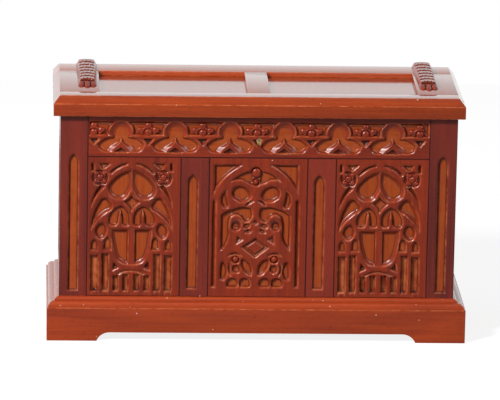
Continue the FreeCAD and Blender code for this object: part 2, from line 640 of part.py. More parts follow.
def moulding_section(x):
    """The section of the base moulding: fillet, quirk, ovolo, fillet and bead, from foot to top."""
    low, high = PLINTH_HEIGHT, BASE_TOP
    ovolo = 0.55 * MOULDING_HEIGHT
    lip = 0.08 * MOULDING_HEIGHT
    out = PLINTH_THICK
    nose = out - 0.12 * PLINTH_THICK
    tuck = nose - ovolo
    bead_foot = low + lip + ovolo + 0.12 * MOULDING_HEIGHT
    bend = ovolo * math.sin(math.radians(45))
    at = [Vector(x, -y, z) for y, z in (
        (0, low), (out, low), (out, low + lip), (nose, low + lip), (tuck + bend, low + lip + bend),
        (tuck, low + lip + ovolo), (tuck - 0.08 * out, low + lip + ovolo), (tuck - 0.08 * out, bead_foot),
        (0.2 * out, high - 0.08 * MOULDING_HEIGHT), (0, high))]
    edges = [Part.makeLine(at[0], at[1]), Part.makeLine(at[1], at[2]), Part.makeLine(at[2], at[3]),
             Part.Arc(at[3], at[4], at[5]).toShape(), Part.makeLine(at[5], at[6]),
             Part.makeLine(at[6], at[7]), Part.Arc(at[7], at[8], at[9]).toShape(),
             Part.makeLine(at[9], at[0])]
    return Part.Face(Part.Wire(edges))


def base_piece(kind, inner, foot_length):
    """A plinth board or a length of moulding, drawn in front of Y = 0."""
    outer = inner + PLINTH_THICK
    if kind == "plinth":
        return cut_away(mitred(inner, (0, PLINTH_HEIGHT)), [bracket(outer - foot_length)])
    strip = moulding_section(-outer).extrude(Vector(2 * outer, 0, 0))
    return strip.common(mitred(inner, (PLINTH_HEIGHT, BASE_TOP)))


def build_base():
    """The bracket plinth and the moulding above it, mitred at the corners."""
    for kind in ("plinth", "base_moulding"):
        for side, turn, inner, out, foot in (("front", 0, HALF_W, HALF_D, FRONT_FOOT_LENGTH),
                                             ("right", 90, HALF_D, HALF_W, END_FOOT_LENGTH),
                                             ("back", 180, HALF_W, HALF_D, FRONT_FOOT_LENGTH),
                                             ("left", 270, HALF_D, HALF_W, END_FOOT_LENGTH)):
            piece = base_piece(kind, inner, foot)
            piece.translate(Vector(0, -out, 0))
            piece.rotate(Vector(0, 0, 0), Vector(0, 0, 1), turn)
            PARTS[kind + "_" + side] = piece


# Lid

def lid_envelope():
    """The outside of the whole lid, chamfered round the top."""
    tools = []
    for reach, length, turns in ((LID_Y, LID_X, (0, 180)), (LID_X, LID_Y, (90, 270))):
        corners = [Vector(-length, -reach, LID_TOP - LID_CHAMFER_DOWN), Vector(-length, -reach, LID_TOP),
                   Vector(-length, -reach + LID_CHAMFER_ACROSS, LID_TOP)]
        wedge = Part.Face(Part.makePolygon(corners + corners[:1])).extrude(Vector(2 * length, 0, 0))
        for turn in turns:
            tool = wedge.copy()
            tool.rotate(Vector(0, 0, 0), Vector(0, 0, 1), turn)
            tools.append(tool)
    return block((-LID_X, LID_X), (-LID_Y, LID_Y), (BODY_TOP, LID_TOP)).cut(tools)


def lid_tenon(x_range, extra=0):
    """The tenons at both ends of a lid stile or muntin, at the level of the panels."""
    reach = TENON_LENGTH + extra
    return block(x_range, (LID_FRONT_EDGE - reach, LID_BACK_EDGE + reach), (LID_PANEL_FOOT, LID_PANEL_TOP))


def lid_groove(x_range, y_range):
    """Room for the lid panels, grown by the groove depth on every side."""
    grow = LID_PANEL_TONGUE + JOINT_END_GAP
    return block((x_range[0] - grow, x_range[1] + grow), (y_range[0] - grow, y_range[1] + grow),
                 (LID_PANEL_FOOT, LID_PANEL_TOP))


def lid_panel_range():
    """The clear opening of the right lid panel, across and front to back."""
    return (LID_MUNTIN_WIDTH / 2, LID_STILE_EDGE), (LID_FRONT_EDGE, LID_BACK_EDGE)


def rounded_slot(x_centre, length, width, z_range):
    """A slot with round ends, lying along X."""
    half = (length - width) / 2
    tall = z_range[1] - z_range[0]
    solids = [block(around(x_centre, 2 * half), around(SLOT_Y, width), z_range)]
    for x in (x_centre - half, x_centre + half):
        solids.append(Part.makeCylinder(width / 2, tall, Vector(x, SLOT_Y, z_range[0])))
    return joined(solids)


def slot_plate_screws():
    """The heads of the screws at both ends of each slot plate."""
    off = SLOT_PLATE_LENGTH / 2 - SLOT_PLATE_SCREW_INSET
    ends = [x + dx for x in (-SLOT_X, SLOT_X) for dx in (-off, off)]
    return [Vector(x, SLOT_Y, LID_PANEL_TOP + SLOT_PLATE_THICK) for x in ends]


def lid_panel():
    """The right lid panel with its money slot."""
    x_range, y_range = lid_panel_range()
    t = LID_PANEL_TONGUE
    board = block((x_range[0] - t, x_range[1] + t), (y_range[0] - t, y_range[1] + t),
                  (LID_PANEL_FOOT, LID_PANEL_TOP))
    slot = rounded_slot(SLOT_X, SLOT_LENGTH + SLOT_EASE, SLOT_WIDTH + SLOT_EASE,
                        (LID_PANEL_FOOT - 1, LID_PANEL_TOP + 1))
    seats = [screw_seat(p, Vector(0, 0, -1)) for p in slot_plate_screws() if p.x > 0]
    return cut_away(board, [slot] + seats)


def slot_plate():
    """The brass plate round the right money slot."""
    z_range = (LID_PANEL_TOP, LID_PANEL_TOP + SLOT_PLATE_THICK)
    plate = block(around(SLOT_X, SLOT_PLATE_LENGTH), around(SLOT_Y, SLOT_PLATE_WIDTH), z_range)
    slot = rounded_slot(SLOT_X, SLOT_LENGTH, SLOT_WIDTH, (z_range[0] - 1, z_range[1] + 1))
    seats = [screw_seat(p, Vector(0, 0, -1)) for p in slot_plate_screws() if p.x > 0]
    return cut_away(plate, [slot] + seats)


def leaf_section(y, height):
    """A round-backed section of a leaf carving on the lid's top face."""
    share = (y - LEAF_FRONT) / LEAF_LENGTH
    half = (LEAF_FRONT_WIDTH + share * (LEAF_BACK_WIDTH - LEAF_FRONT_WIDTH)) / 2
    ends = [Vector(LEAF_X - half, y, LID_TOP), Vector(LEAF_X + half, y, LID_TOP)]
    top = Vector(LEAF_X, y, LID_TOP + height)
    return Part.Wire([Part.Arc(ends[0], top, ends[1]).toShape(), Part.makeLine(ends[1], ends[0])])


def leaf_lobe(offset, reach):
    """One round lobe of the nose of a leaf carving, lying half sunk in the lid's top face."""
    root = Vector(LEAF_X + offset, LEAF_FRONT + LEAF_NOSE + LEAF_LOBE_BED, LID_TOP)
    length = reach + LEAF_LOBE_BED - LEAF_LOBE_TIP_RADIUS
    tip = root - Vector(0, length, 0)
    return [Part.makeCone(LEAF_LOBE_RADIUS, LEAF_LOBE_TIP_RADIUS, length, root, Vector(0, -1, 0)),
            Part.makeSphere(LEAF_LOBE_TIP_RADIUS, tip)]


def leaf_carving():
    """The right leaf carving: overlapping rows behind a nose of three lobes."""
    solids = []
    row = (LEAF_LENGTH - LEAF_NOSE) / LEAF_ROWS
    for i in range(LEAF_ROWS):
        y = LEAF_FRONT + LEAF_NOSE + i * row
        solids.append(Part.makeLoft([leaf_section(y, LEAF_HEIGHT),
                                     leaf_section(y + row, LEAF_HEIGHT - LEAF_STEP)], True, True))
    side = LEAF_FRONT_WIDTH / 2 - LEAF_LOBE_RADIUS
    for offset, reach in ((0, LEAF_NOSE), (-side, LEAF_NOSE - LEAF_SIDE_LOBE_SHORT),
                          (side, LEAF_NOSE - LEAF_SIDE_LOBE_SHORT)):
        solids += leaf_lobe(offset, reach)
    above = block(around(LEAF_X, 2 * LEAF_BACK_WIDTH), (LEAF_FRONT - 1, LEAF_BACK + 1),
                  (LID_TOP, LID_TOP + 2 * LEAF_HEIGHT))
    return joined(solids).common(above)


def build_lid():
    """The framed lid with its panels, carvings and slot plates."""
    outside = lid_envelope()
    x_range, y_range = lid_panel_range()
    groove = lid_groove(x_range, y_range)
    grooves = [groove, mirrored(groove)]
    stile_tenon = (LID_STILE_EDGE + LID_TENON_MARGIN, LID_X - LID_TENON_MARGIN)
    muntin_tenon = around(0, LID_MUNTIN_WIDTH - 2 * (LID_PANEL_TONGUE + JOINT_END_GAP))
    mortises = [lid_tenon(stile_tenon, JOINT_END_GAP), mirrored(lid_tenon(stile_tenon, JOINT_END_GAP)),
                lid_tenon(muntin_tenon, JOINT_END_GAP)]
    whole = (BODY_TOP, LID_TOP)
    front = block((-LID_X, LID_X), (-LID_Y, LID_FRONT_EDGE), whole).common(outside)
    link_seats = [link_plate_blank()] + [screw_seat(p, Vector(0, 0, 1)) for p in link_plate_screws()]
    PARTS["lid_front_rail"] = cut_away(cut_away(front, grooves), mortises + link_seats)
    back = block((-LID_X, LID_X), (LID_BACK_EDGE, LID_Y), whole).common(outside)
    PARTS["lid_back_rail"] = cut_away(cut_away(cut_away(back, grooves), mortises), hinge_seats(1))
    stile = block((LID_STILE_EDGE, LID_X), (LID_FRONT_EDGE, LID_BACK_EDGE), whole).common(outside)
    stile = cut_away(joined([stile, lid_tenon(stile_tenon)]), grooves)
    PARTS["lid_right_stile"] = stile
    PARTS["lid_left_stile"] = mirrored(stile)
    muntin = block(around(0, LID_MUNTIN_WIDTH), (LID_FRONT_EDGE, LID_BACK_EDGE), whole)
    PARTS["lid_muntin"] = cut_away(joined([muntin, lid_tenon(muntin_tenon)]), grooves)
    for name, make in (("lid_right_panel", lid_panel), ("right_slot_plate", slot_plate),
                       ("right_leaf_carving", leaf_carving)):
        right = make()
        PARTS[name] = right
        PARTS[name.replace("right", "left")] = mirrored(right)
    PARTS["slot_plate_screws"] = Part.makeCompound(
        [screw(p, Vector(0, 0, -1)) for p in slot_plate_screws()])


# Hinges

def hinge_screws(way):
    """The heads of the screws in both leaves of one side: -1 on the carcase, 1 on the lid."""
    y = HINGE_Y - 0.58 * HINGE_LEAF_WIDTH
    heads = []
    for centre in (-HINGE_X, HINGE_X):
        for step in (-1, 0, 1):
            heads.append(Vector(centre + step * HINGE_SCREW_SPACING, y, BODY_TOP))
    return heads


def hinge_seats(way):
    """What both hinges take out of the carcase rail (-1) or the lid rail (1)."""
    seats = []
    for centre in (-HINGE_X, HINGE_X):
        x_range = around(centre, HINGE_LENGTH)
        leaf = block(x_range, (HINGE_Y - HINGE_LEAF_WIDTH, HINGE_Y),
                     (BODY_TOP, BODY_TOP + way * HINGE_LEAF_THICK))
        barrel = Part.makeCylinder(KNUCKLE_RADIUS + KNUCKLE_SWEEP_GAP, HINGE_LENGTH,
                                   Vector(x_range[0], HINGE_Y, BODY_TOP), Vector(1, 0, 0))
        seats.append(leaf.fuse(barrel))
    return seats + [screw_seat(p, Vector(0, 0, way)) for p in hinge_screws(way)]


def hinge_leaf(centre, way):
    """One leaf with its knuckles: -1 is let into the carcase, 1 into the lid."""
    start = centre - HINGE_LENGTH / 2
    pitch = HINGE_LENGTH / HINGE_KNUCKLES
    own = 0 if way < 0 else 1
    leaf = block((start, start + HINGE_LENGTH), (HINGE_Y - HINGE_LEAF_WIDTH, HINGE_Y),
                 (BODY_TOP, BODY_TOP + way * HINGE_LEAF_THICK))
    knuckles = []
    gaps = []
    for i in range(HINGE_KNUCKLES):
        at = Vector(start + i * pitch, HINGE_Y, BODY_TOP)
        if i % 2 == own:
            inset = KNUCKLE_GAP / 2
            knuckles.append(Part.makeCylinder(KNUCKLE_RADIUS, pitch - 2 * inset, at + Vector(inset, 0, 0),
                                              Vector(1, 0, 0)))
        else:
            inset = -KNUCKLE_GAP / 2
            gaps.append(Part.makeCylinder(KNUCKLE_RADIUS + KNUCKLE_SWEEP_GAP, pitch - 2 * inset,
                                          at + Vector(inset, 0, 0), Vector(1, 0, 0)))
    bore = Part.makeCylinder(HINGE_PIN_RADIUS + HINGE_PIN_FIT, HINGE_LENGTH, Vector(start, HINGE_Y, BODY_TOP),
                             Vector(1, 0, 0))
    seats = [screw_seat(p, Vector(0, 0, way)) for p in hinge_screws(way)]
    return cut_away(joined([cut_away(leaf, gaps)] + knuckles), [bore] + seats)


def build_hinges():
    """Two butt hinges between the back rail and the lid."""
    for side, centre in (("left", -HINGE_X), ("right", HINGE_X)):
        PARTS[side + "_hinge_carcase_leaf"] = hinge_leaf(centre, -1)
        PARTS[side + "_hinge_lid_leaf"] = hinge_leaf(centre, 1)
        PARTS[side + "_hinge_pin"] = Part.makeCylinder(
            HINGE_PIN_RADIUS, HINGE_LENGTH, Vector(centre - HINGE_LENGTH / 2, HINGE_Y, BODY_TOP),
            Vector(1, 0, 0))
    for name, way in (("carcase", -1), ("lid", 1)):
        PARTS["hinge_" + name + "_screws"] = Part.makeCompound(
            [screw(p, Vector(0, 0, way)) for p in hinge_screws(way)])


# Lock

def keyhole_outline(grow, y_from, y_to):
    """The keyhole with its drop, grown by a wall, between two depths."""
    length = y_to - y_from
    eye = Part.makeCylinder(KEYHOLE_RADIUS + grow, length, Vector(0, y_from, BARREL_Z), Vector(0, 1, 0))
    drop = block(around(0, KEYHOLE_SLOT_WIDTH + 2 * grow), (y_from, y_to),
                 (BARREL_Z - KEYHOLE_SLOT_DROP - grow, BARREL_Z))
    return joined([eye, drop])


def keyhole_bush():
    """The lining of the keyhole, from the carved hollow to the lock."""
    y_from = FRONT + CARVING_DEPTH
    return keyhole_outline(KEYHOLE_WALL, y_from, LOCK_FACE).cut(keyhole_outline(0, y_from, LOCK_FACE))


def lock_lip_screws():
    """The heads of the screws in the lock's top lip."""
    x = (LOCK_WIDTH + LOCK_LIP) / 2
    return [Vector(way * x, (LOCK_FACE + LOCK_BACK) / 2, BODY_TOP) for way in (-1, 1)]


def lock_cap_screws():
    """The heads of the screws that hold the cap on the case."""
    x = LOCK_ROOM_X - LOCK_CORNER / 2
    low = LOCK_FOOT + LOCK_WALL + LOCK_CORNER / 2
    high = BODY_TOP - LOCK_WALL - LOCK_CORNER / 2
    return [Vector(way * x, LOCK_BACK, z) for way in (-1, 1) for z in (low, high)]


def lock_case():
    """The case: face, rim, top lip, corner posts and the ledges that the bolt runs on."""
    half = LOCK_WIDTH / 2
    outside = block((-half, half), (LOCK_FACE, LOCK_ROOM_BACK), (LOCK_FOOT, BODY_TOP))
    room = block((-LOCK_ROOM_X, LOCK_ROOM_X), (LOCK_ROOM_FACE, LOCK_ROOM_BACK),
                 (LOCK_FOOT + LOCK_WALL, BODY_TOP - LOCK_WALL))
    lip = block((-half - LOCK_LIP, half + LOCK_LIP), (LOCK_FACE, LOCK_BACK),
                (BODY_TOP - LOCK_WALL, BODY_TOP))
    solids = [outside.cut(room), lip]
    for p in lock_cap_screws():
        solids.append(block(around(p.x, LOCK_CORNER), (LOCK_ROOM_FACE, LOCK_ROOM_BACK),
                            around(p.z, LOCK_CORNER)))
    ledge_top = BOLT_FOOT - BOLT_RUN_GAP
    ledge_start = BARREL_DISC_RADIUS + BOLT_RUN_GAP
    for way in (-1, 1):
        solids.append(block((way * ledge_start, way * LOCK_ROOM_X), (LOCK_ROOM_FACE, BOLT_BACK),
                            (ledge_top - LOCK_LEDGE, ledge_top)))
    tools = [Part.makeCylinder(BARREL_RADIUS + BARREL_FIT, LOCK_WALL, Vector(0, LOCK_FACE, BARREL_Z),
                               Vector(0, 1, 0))]
    for x in (-STAPLE_SPREAD / 2, STAPLE_SPREAD / 2):
        tools.append(block(around(x, STAPLE_THICK + 2 * BOLT_RUN_GAP),
                           (STAPLE_FACE - STAPLE_SWING_GAP, STAPLE_BACK + STAPLE_SWING_GAP),
                           (BODY_TOP - LOCK_WALL, BODY_TOP)))
    tools += [screw_seat(p, Vector(0, 0, -1)) for p in lock_lip_screws()]
    tools += [screw_seat(p, Vector(0, -1, 0), LOCK_CAP_SCREW_LENGTH) for p in lock_cap_screws()]
    return cut_away(joined(solids), tools)


def lock_cap():
    """The plate that closes the back of the case."""
    half = LOCK_WIDTH / 2
    plate = block((-half, half), (LOCK_ROOM_BACK, LOCK_BACK), (LOCK_FOOT, BODY_TOP - LOCK_WALL))
    tools = [Part.makeCylinder(BARREL_RADIUS + BARREL_FIT, LOCK_WALL, Vector(0, LOCK_ROOM_BACK, BARREL_Z),
                               Vector(0, 1, 0))]
    tools += [screw_seat(p, Vector(0, -1, 0), LOCK_CAP_SCREW_LENGTH) for p in lock_cap_screws()]
    return cut_away(plate, tools)


def lock_barrel():
    """The barrel that the key turns, with the disc and the pin that drives the bolt."""
    shaft = Part.makeCylinder(BARREL_RADIUS, LOCK_DEPTH, Vector(0, LOCK_FACE, BARREL_Z), Vector(0, 1, 0))
    disc = Part.makeCylinder(BARREL_DISC_RADIUS, BARREL_DISC_THICK, Vector(0, DISC_FACE, BARREL_Z),
                             Vector(0, 1, 0))
    pin = Part.makeCylinder(CAM_PIN_RADIUS, BOLT_BACK - DISC_FACE, Vector(CAM_X, DISC_FACE, CAM_Z),
                            Vector(0, 1, 0))
    keyway = block(around(0, KEYHOLE_SLOT_WIDTH), (LOCK_FACE, LOCK_ROOM_FACE),
                   around(BARREL_Z, 2 * KEYHOLE_RADIUS))
    return joined([shaft, disc, pin]).cut(keyway)


def lock_bolt():
    """The sliding bolt, drawn back, with a prong for each staple and a fork for the pin."""
    y_range = (BOLT_FACE, BOLT_BACK)
    bar_top = BOLT_FOOT + BOLT_BAR_HEIGHT
    prong_foot = EYE_FOOT + BOLT_RUN_GAP
    prong_top = prong_foot + BOLT_PRONG_HEIGHT
    solids = []
    starts = []
    for x in (-STAPLE_SPREAD / 2, STAPLE_SPREAD / 2):
        tip = x - STAPLE_THICK / 2 - 1
        start = tip - BOLT_PRONG_LENGTH
        starts.append(start)
        solids.append(block((start, tip), y_range, (prong_foot, prong_top)))
        solids.append(block((start, start + BOLT_POST_WIDTH), y_range, (BOLT_FOOT, prong_top)))
    solids.append(block((starts[0], starts[1] + BOLT_POST_WIDTH), y_range, (BOLT_FOOT, bar_top)))
    fork_half = CAM_PIN_RADIUS + CAM_PIN_EASE
    fork_top = BARREL_Z + CAM_RADIUS + CAM_PIN_RADIUS + CAM_PIN_EASE
    fork = block((CAM_X - fork_half, CAM_X + fork_half), y_range, (BOLT_FOOT, fork_top))
    return cut_away(joined(solids), [fork])


def link_plate_blank():
    """The plate let into the underside of the lid's front rail."""
    return block(around(0, LINK_PLATE_LENGTH), (LID_FRONT_EDGE - LINK_PLATE_WIDTH, LID_FRONT_EDGE),
                 (BODY_TOP, BODY_TOP + LINK_PLATE_THICK))


def link_plate_screws():
    """The heads of the screws in the link plate."""
    y = LID_FRONT_EDGE - LINK_PLATE_WIDTH + 1.5 * SCREW_HEAD_RADIUS
    return [Vector(way * LINK_PLATE_SCREW_SPREAD / 2, y, BODY_TOP) for way in (-1, 1)]


def link_plate():
    """The plate with the two staples that the bolt enters."""
    solids = [link_plate_blank()]
    eyes = []
    eye_top = EYE_FOOT + BOLT_PRONG_HEIGHT + 2 * BOLT_RUN_GAP
    for x in (-STAPLE_SPREAD / 2, STAPLE_SPREAD / 2):
        solids.append(block(around(x, STAPLE_THICK), (STAPLE_FACE, STAPLE_BACK), (STAPLE_FOOT, BODY_TOP)))
        eyes.append(block(around(x, STAPLE_THICK), (BOLT_FACE - BOLT_RUN_GAP, BOLT_BACK + BOLT_RUN_GAP),
                          (EYE_FOOT, eye_top)))
    seats = [screw_seat(p, Vector(0, 0, 1)) for p in link_plate_screws()]
    return cut_away(joined(solids), eyes + seats)


def build_lock():
    """The lock in the frieze and the link plate in the lid."""
    PARTS["lock_case"] = lock_case()
    PARTS["lock_cap"] = lock_cap()
    PARTS["lock_barrel"] = lock_barrel()
    PARTS["lock_bolt"] = lock_bolt()
    PARTS["keyhole_bush"] = keyhole_bush()
    PARTS["lock_screws"] = Part.makeCompound(
        [screw(p, Vector(0, 0, -1)) for p in lock_lip_screws()]
        + [screw(p, Vector(0, -1, 0), LOCK_CAP_SCREW_LENGTH) for p in lock_cap_screws()])
    PARTS["link_plate"] = link_plate()
    PARTS["link_plate_screws"] = Part.makeCompound(
        [screw(p, Vector(0, 0, 1)) for p in link_plate_screws()])


build_carcase()
build_base()
build_lid()
build_hinges()
build_lock()
os.makedirs("parts", exist_ok=True)
for node, shape in PARTS.items():
    shape.exportStep("parts/" + node + ".step")
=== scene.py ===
import json
import math

import bmesh
import bpy
import numpy as np
from bpy.props import FloatProperty, FloatVectorProperty, IntProperty, PointerProperty
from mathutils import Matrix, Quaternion, Vector

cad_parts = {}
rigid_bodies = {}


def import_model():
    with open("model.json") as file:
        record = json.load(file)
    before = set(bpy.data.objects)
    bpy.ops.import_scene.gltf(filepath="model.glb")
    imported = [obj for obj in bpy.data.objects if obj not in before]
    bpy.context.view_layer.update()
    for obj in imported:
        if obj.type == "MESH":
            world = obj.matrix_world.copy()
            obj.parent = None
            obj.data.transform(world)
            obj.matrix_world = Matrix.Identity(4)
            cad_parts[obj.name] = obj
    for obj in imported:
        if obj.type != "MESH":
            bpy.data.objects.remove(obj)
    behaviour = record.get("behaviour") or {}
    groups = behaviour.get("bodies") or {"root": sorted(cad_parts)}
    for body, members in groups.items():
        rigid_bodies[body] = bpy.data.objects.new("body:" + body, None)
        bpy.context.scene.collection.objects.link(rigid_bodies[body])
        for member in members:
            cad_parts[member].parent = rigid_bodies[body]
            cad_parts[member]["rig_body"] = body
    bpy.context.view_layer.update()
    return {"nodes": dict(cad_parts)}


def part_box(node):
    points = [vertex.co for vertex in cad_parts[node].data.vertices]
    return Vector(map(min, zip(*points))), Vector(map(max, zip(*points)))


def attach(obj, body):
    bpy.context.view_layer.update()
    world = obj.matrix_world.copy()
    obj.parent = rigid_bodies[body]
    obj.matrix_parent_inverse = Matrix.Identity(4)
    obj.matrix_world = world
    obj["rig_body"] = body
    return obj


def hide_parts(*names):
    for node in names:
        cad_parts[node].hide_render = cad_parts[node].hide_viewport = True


bl_info = {
    "name": "Carved donation chest",
    "version": (1, 0, 0),
    "blender": (4, 5, 0),
    "location": "View3D > Sidebar > Chest",
    "description": "Carves, polishes and lights a Gothic donation chest on its packed frame",
    "category": "Object",
}

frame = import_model()
NODES = frame["nodes"]
MM = 0.001

# Places read from the frame
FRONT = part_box("centre_tracery_panel")[0].y
BASE_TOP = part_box("base_moulding_front")[1].z
FRIEZE_FOOT, FRIEZE_TOP = (corner.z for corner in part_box("frieze_rail"))
POST_INNER, POST_OUTER = (corner.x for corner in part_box("front_right_post"))
MUNTIN_INNER, MUNTIN_OUTER = (corner.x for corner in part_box("right_muntin"))
LID_FOOT, LID_TOP = (corner.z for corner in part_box("lid_front_rail"))

# Carving, in millimetres: how far it stands off the middle of its panel, how wide the dark seam along a
# board's edge is, the depth of the lancets in posts and muntins, how far a ridge's slopes may reach, and
# a distance beyond any outline
CARVING_SHIFT = -2.1
PANEL_SEAM, POST_SEAM = 0.75, 0.45
LANCET_DEPTH = 3.2
RIDGE_REACH = 7.0
FAR = 99.0

# Lines on the carving, in millimetres: painted highlight along the rims, and dark lines at the foot of a wall and
# of a ridge, which are stain together with painted shade
RIM_HIGHLIGHT_LINE, WALL_STAIN_SHADE_LINE, RIDGE_STAIN_SHADE_LINE = 0.4, 0.6, 0.5

# Uprights of the front: foot, head and width of the lancet in millimetres, and tone of the wood
UPRIGHTS = {"front_left_post": (5.6, 145.5, 9.4, -0.1), "front_right_post": (5.6, 145.5, 9.4, -0.15),
            "left_muntin": (8.0, 125.5, 10.3, -0.1), "right_muntin": (8.0, 125.5, 10.3, 0.5)}

# Frieze: number of bays, plain end beyond them, edge kept clear and height of the rosettes in millimetres,
# the turn from petal to petal, how far the petals are flattened, and the keyhole's slot as a share of its eye
BAYS = 6
FRIEZE_END, FRIEZE_EDGE = 7.9, 1.4
FRIEZE_ROSETTE_UP = 24.4
FRIEZE_FAN, FRIEZE_SQUASH = 1.2, 0.85
KEY_SLOT = 0.65

# Rosettes of the side panels and knobs of the centre panel: across and up in millimetres, how large the first
# are beside those of the frieze, and the radius of the knobs and how many stand in a row about the middle
SIDE_ROSETTE = (31.8, 121.8)
SIDE_BOSS, SIDE_PETAL = 0.9, 0.72
CENTRE_KNOBS = ((0.2, 127.6, 4.6, 1), (-0.3, 118.4, 2.6, 1), (-19.4, 38.6, 3.0, 2))

# How far the bumps of a rosette stand up
ROSETTE_SWELL = 2.2 * MM

# Leaves on the lid: length of the smooth nose, and width of its tip in millimetres
LEAF_NOSE = 19.0 * MM
LEAF_TIP = 18.4

# How far the top of each part of the lid is polished, and the ends of the lid and of the base
POLISH = {"lid_front_rail": 0.95, "lid_back_rail": 1.0, "lid_left_stile": 0.8, "lid_right_stile": 0.8,
          "lid_muntin": 0.85, "lid_left_panel": 0.95, "lid_right_panel": 0.95}
LID_END_POLISH, BASE_END_POLISH, LEAF_POLISH = 0.9, 0.45, 0.45

# Dust: its share on upright and level faces, what a ledge adds to it, and how steep and how level a ledge may be
PLAIN_DUST, LEDGE_DUST = 0.4, 3.0
LEDGE_STEEP, LEDGE_LEVEL = 0.15, 0.95

# Rounding of the base's arrises as a share of the other boards', and of the slot plates'
BASE_ROUND, PLATE_ROUND = 0.7, 0.25 * MM

# Angles in degrees that stay sharp on boards, carvings and screws, and that count as an arris
BOARD_SHARP, CARVING_SHARP, SCREW_SHARP, ARRIS = 24, 50, 35, 28

# Lights: name, place, aim, width, height, power, and whether it is only a reflection
STUDIO_LIGHTS = (
    ("key", (-1.35, -1.5, 1.55), (0.0, 0.0, 0.12), 0.35, 0.35, 68.0, False),
    ("fill", (1.6, -2.4, 1.0), (0.0, 0.0, 0.12), 1.6, 1.6, 6.0, False),
    ("top", (0.0, -0.2, 2.4), (0.0, 0.0, 0.1), 2.0, 1.2, 11.0, False),
    ("left_sheen", (-1.35, -1.5, 1.55), (0.0, 0.0, 0.12), 1.0, 1.0, 125.0, True),
    ("right_sheen", (1.35, -1.6, 1.45), (0.0, 0.0, 0.12), 0.9, 0.9, 38.0, True),
)

# Floor and surround: edges of the floor, grey of its paper, its glow, and how far the surround lights
FLOOR_WIDE, FLOOR_NEAR, FLOOR_FAR = 4.0, -5.0, 1.1
PAPER_GREY, FLOOR_GLOW, WORLD_LIGHT = (0.25, 0.25, 0.25, 1.0), 0.84, 0.16

# Camera, taken from the photograph's own perspective
CAMERA_AIM = Vector((-4.8, 0.0, 125.8)) * MM
CAMERA_AZIMUTH = math.radians(-2.686)
CAMERA_ELEVATION = math.radians(14.0)
CAMERA_ROLL = math.radians(1.12)
CAMERA_DISTANCE = 5.2407
CAMERA_LENS = 372.6

# Fixed colours: what darkens pores and hollow floors, dust, the lacquer, and the base's painted light below and
# painted shade above
PORE_STAIN = (0.42, 0.34, 0.32, 1.0)
FLOOR_STAIN = (0.8, 0.7, 0.6, 1.0)
DUST = (0.8, 0.66, 0.58, 1.0)
LACQUER = (0.9, 0.95, 0.95, 1.0)
LIT_GOLDEN_FOOT, SHADED_RED_TOP = (1.2, 1.12, 0.86, 1.0), (0.9, 0.84, 0.86, 1.0)
WHITE = (1.0, 1.0, 1.0, 1.0)


def length(name, description, millimetres):
    """A length that a user may change."""
    return FloatProperty(name=name, description=description, default=millimetres * MM, min=0.0,
                         precision=5, unit="LENGTH")


def colour(name, description, *shade):
    """A colour that a user may change, given as it looks on a screen from 0 to 255."""
    linear = [v / 3294.6 if v <= 10 else ((v / 255 + 0.055) / 1.055) ** 2.4 for v in shade]
    return FloatVectorProperty(name=name, description=description, default=linear, size=3, min=0.0,
                               max=1.0, subtype="COLOR")


class ChestSizes(bpy.types.PropertyGroup):
    """Sizes of the carving and of the softened edges."""
    carving_step: length("Carving step", "Spacing of the points on a carved face", 0.45)
    carving_depth: length("Carving depth", "Depth of the deepest hollows", 3.8)
    slab_depth: length("Slab depth", "Depth of the carved front of a board", 5.2)
    rib_round: length("Rib round", "How far a rib's rounding reaches from a hollow", 2.0)
    rib_drop: length("Rib drop", "How far a rib's rounding falls at the rim of a hollow", 0.8)
    edge_round: length("Edge round", "Rounding of the boards' arrises", 0.55)
    rosette_petal: length("Rosette petal", "Length of one petal of a frieze rosette", 9.5)
    rosette_boss: length("Rosette boss", "Radius of the boss of a frieze rosette", 4.0)
    leaf_step: length("Leaf step", "Height of one row of scales above the row in front", 1.9)
    leaf_rows: IntProperty(name="Leaf rows", description="Rows of scales on a leaf carving", default=7,
                           min=2, max=12)
    screw_head: length("Screw head", "Radius of a screw's head", 2.0)
    screw_shank: length("Screw shank", "Radius of a screw's shank", 1.0)
    screw_sink: length("Screw sink", "Depth of a screw's countersunk head", 1.0)
    screw_slot: length("Screw slot", "Width of the slot in a screw's head", 0.5)
    lining_thick: length("Lining thickness", "Thickness of the cloth on the floor", 1.4)


class ChestColours(bpy.types.PropertyGroup):
    """Colours of the woods, metals and cloth."""
    carved_light: colour("Carved wood, light", "Light grain of the carved face", 148, 50, 22)
    carved_dark: colour("Carved wood, dark", "Dark grain of the carved face", 105, 33, 19)
    hollow: colour("Hollows", "Bare bright floors of the carving", 160, 68, 22)
    # Stain in the carving's corners together with painted shade in its deep corners, at the feet of its walls and
    # on the fronts of the leaves' rows
    stain_and_shade: colour("Crevices", "Stain gathered in the corners of the carving", 46, 17, 15)
    frame_light: colour("Frame, light", "Light grain of the posts and rails", 134, 47, 30)
    frame_dark: colour("Frame, dark", "Dark grain of the posts and rails", 94, 33, 28)
    lid_light: colour("Lid, light", "Light grain of the lid", 160, 62, 22)
    lid_dark: colour("Lid, dark", "Dark grain of the lid", 128, 45, 20)
    base_light: colour("Base, light", "Light grain of the plinth and moulding", 174, 70, 30)
    base_dark: colour("Base, dark", "Dark grain of the plinth and moulding", 136, 50, 28)
    # Arrises rubbed through the stain, together with painted highlights on crests and rims, and painted light on
    # floors painted paler
    wear_and_highlight: colour("Worn edge", "Arrises rubbed through the stain", 206, 116, 70)
    brass: colour("Brass", "Clean brass", 214, 170, 92)
    brass_dull: colour("Tarnish", "Dulled brass", 112, 82, 44)
    steel: colour("Steel", "Clean steel", 176, 174, 170)
    steel_dull: colour("Dull steel", "Dulled steel", 92, 88, 84)
    baize: colour("Baize", "Cloth on the floor of the box", 44, 92, 60)
    baize_shade: colour("Baize, shade", "Depth between the fibres of the cloth", 20, 50, 32)


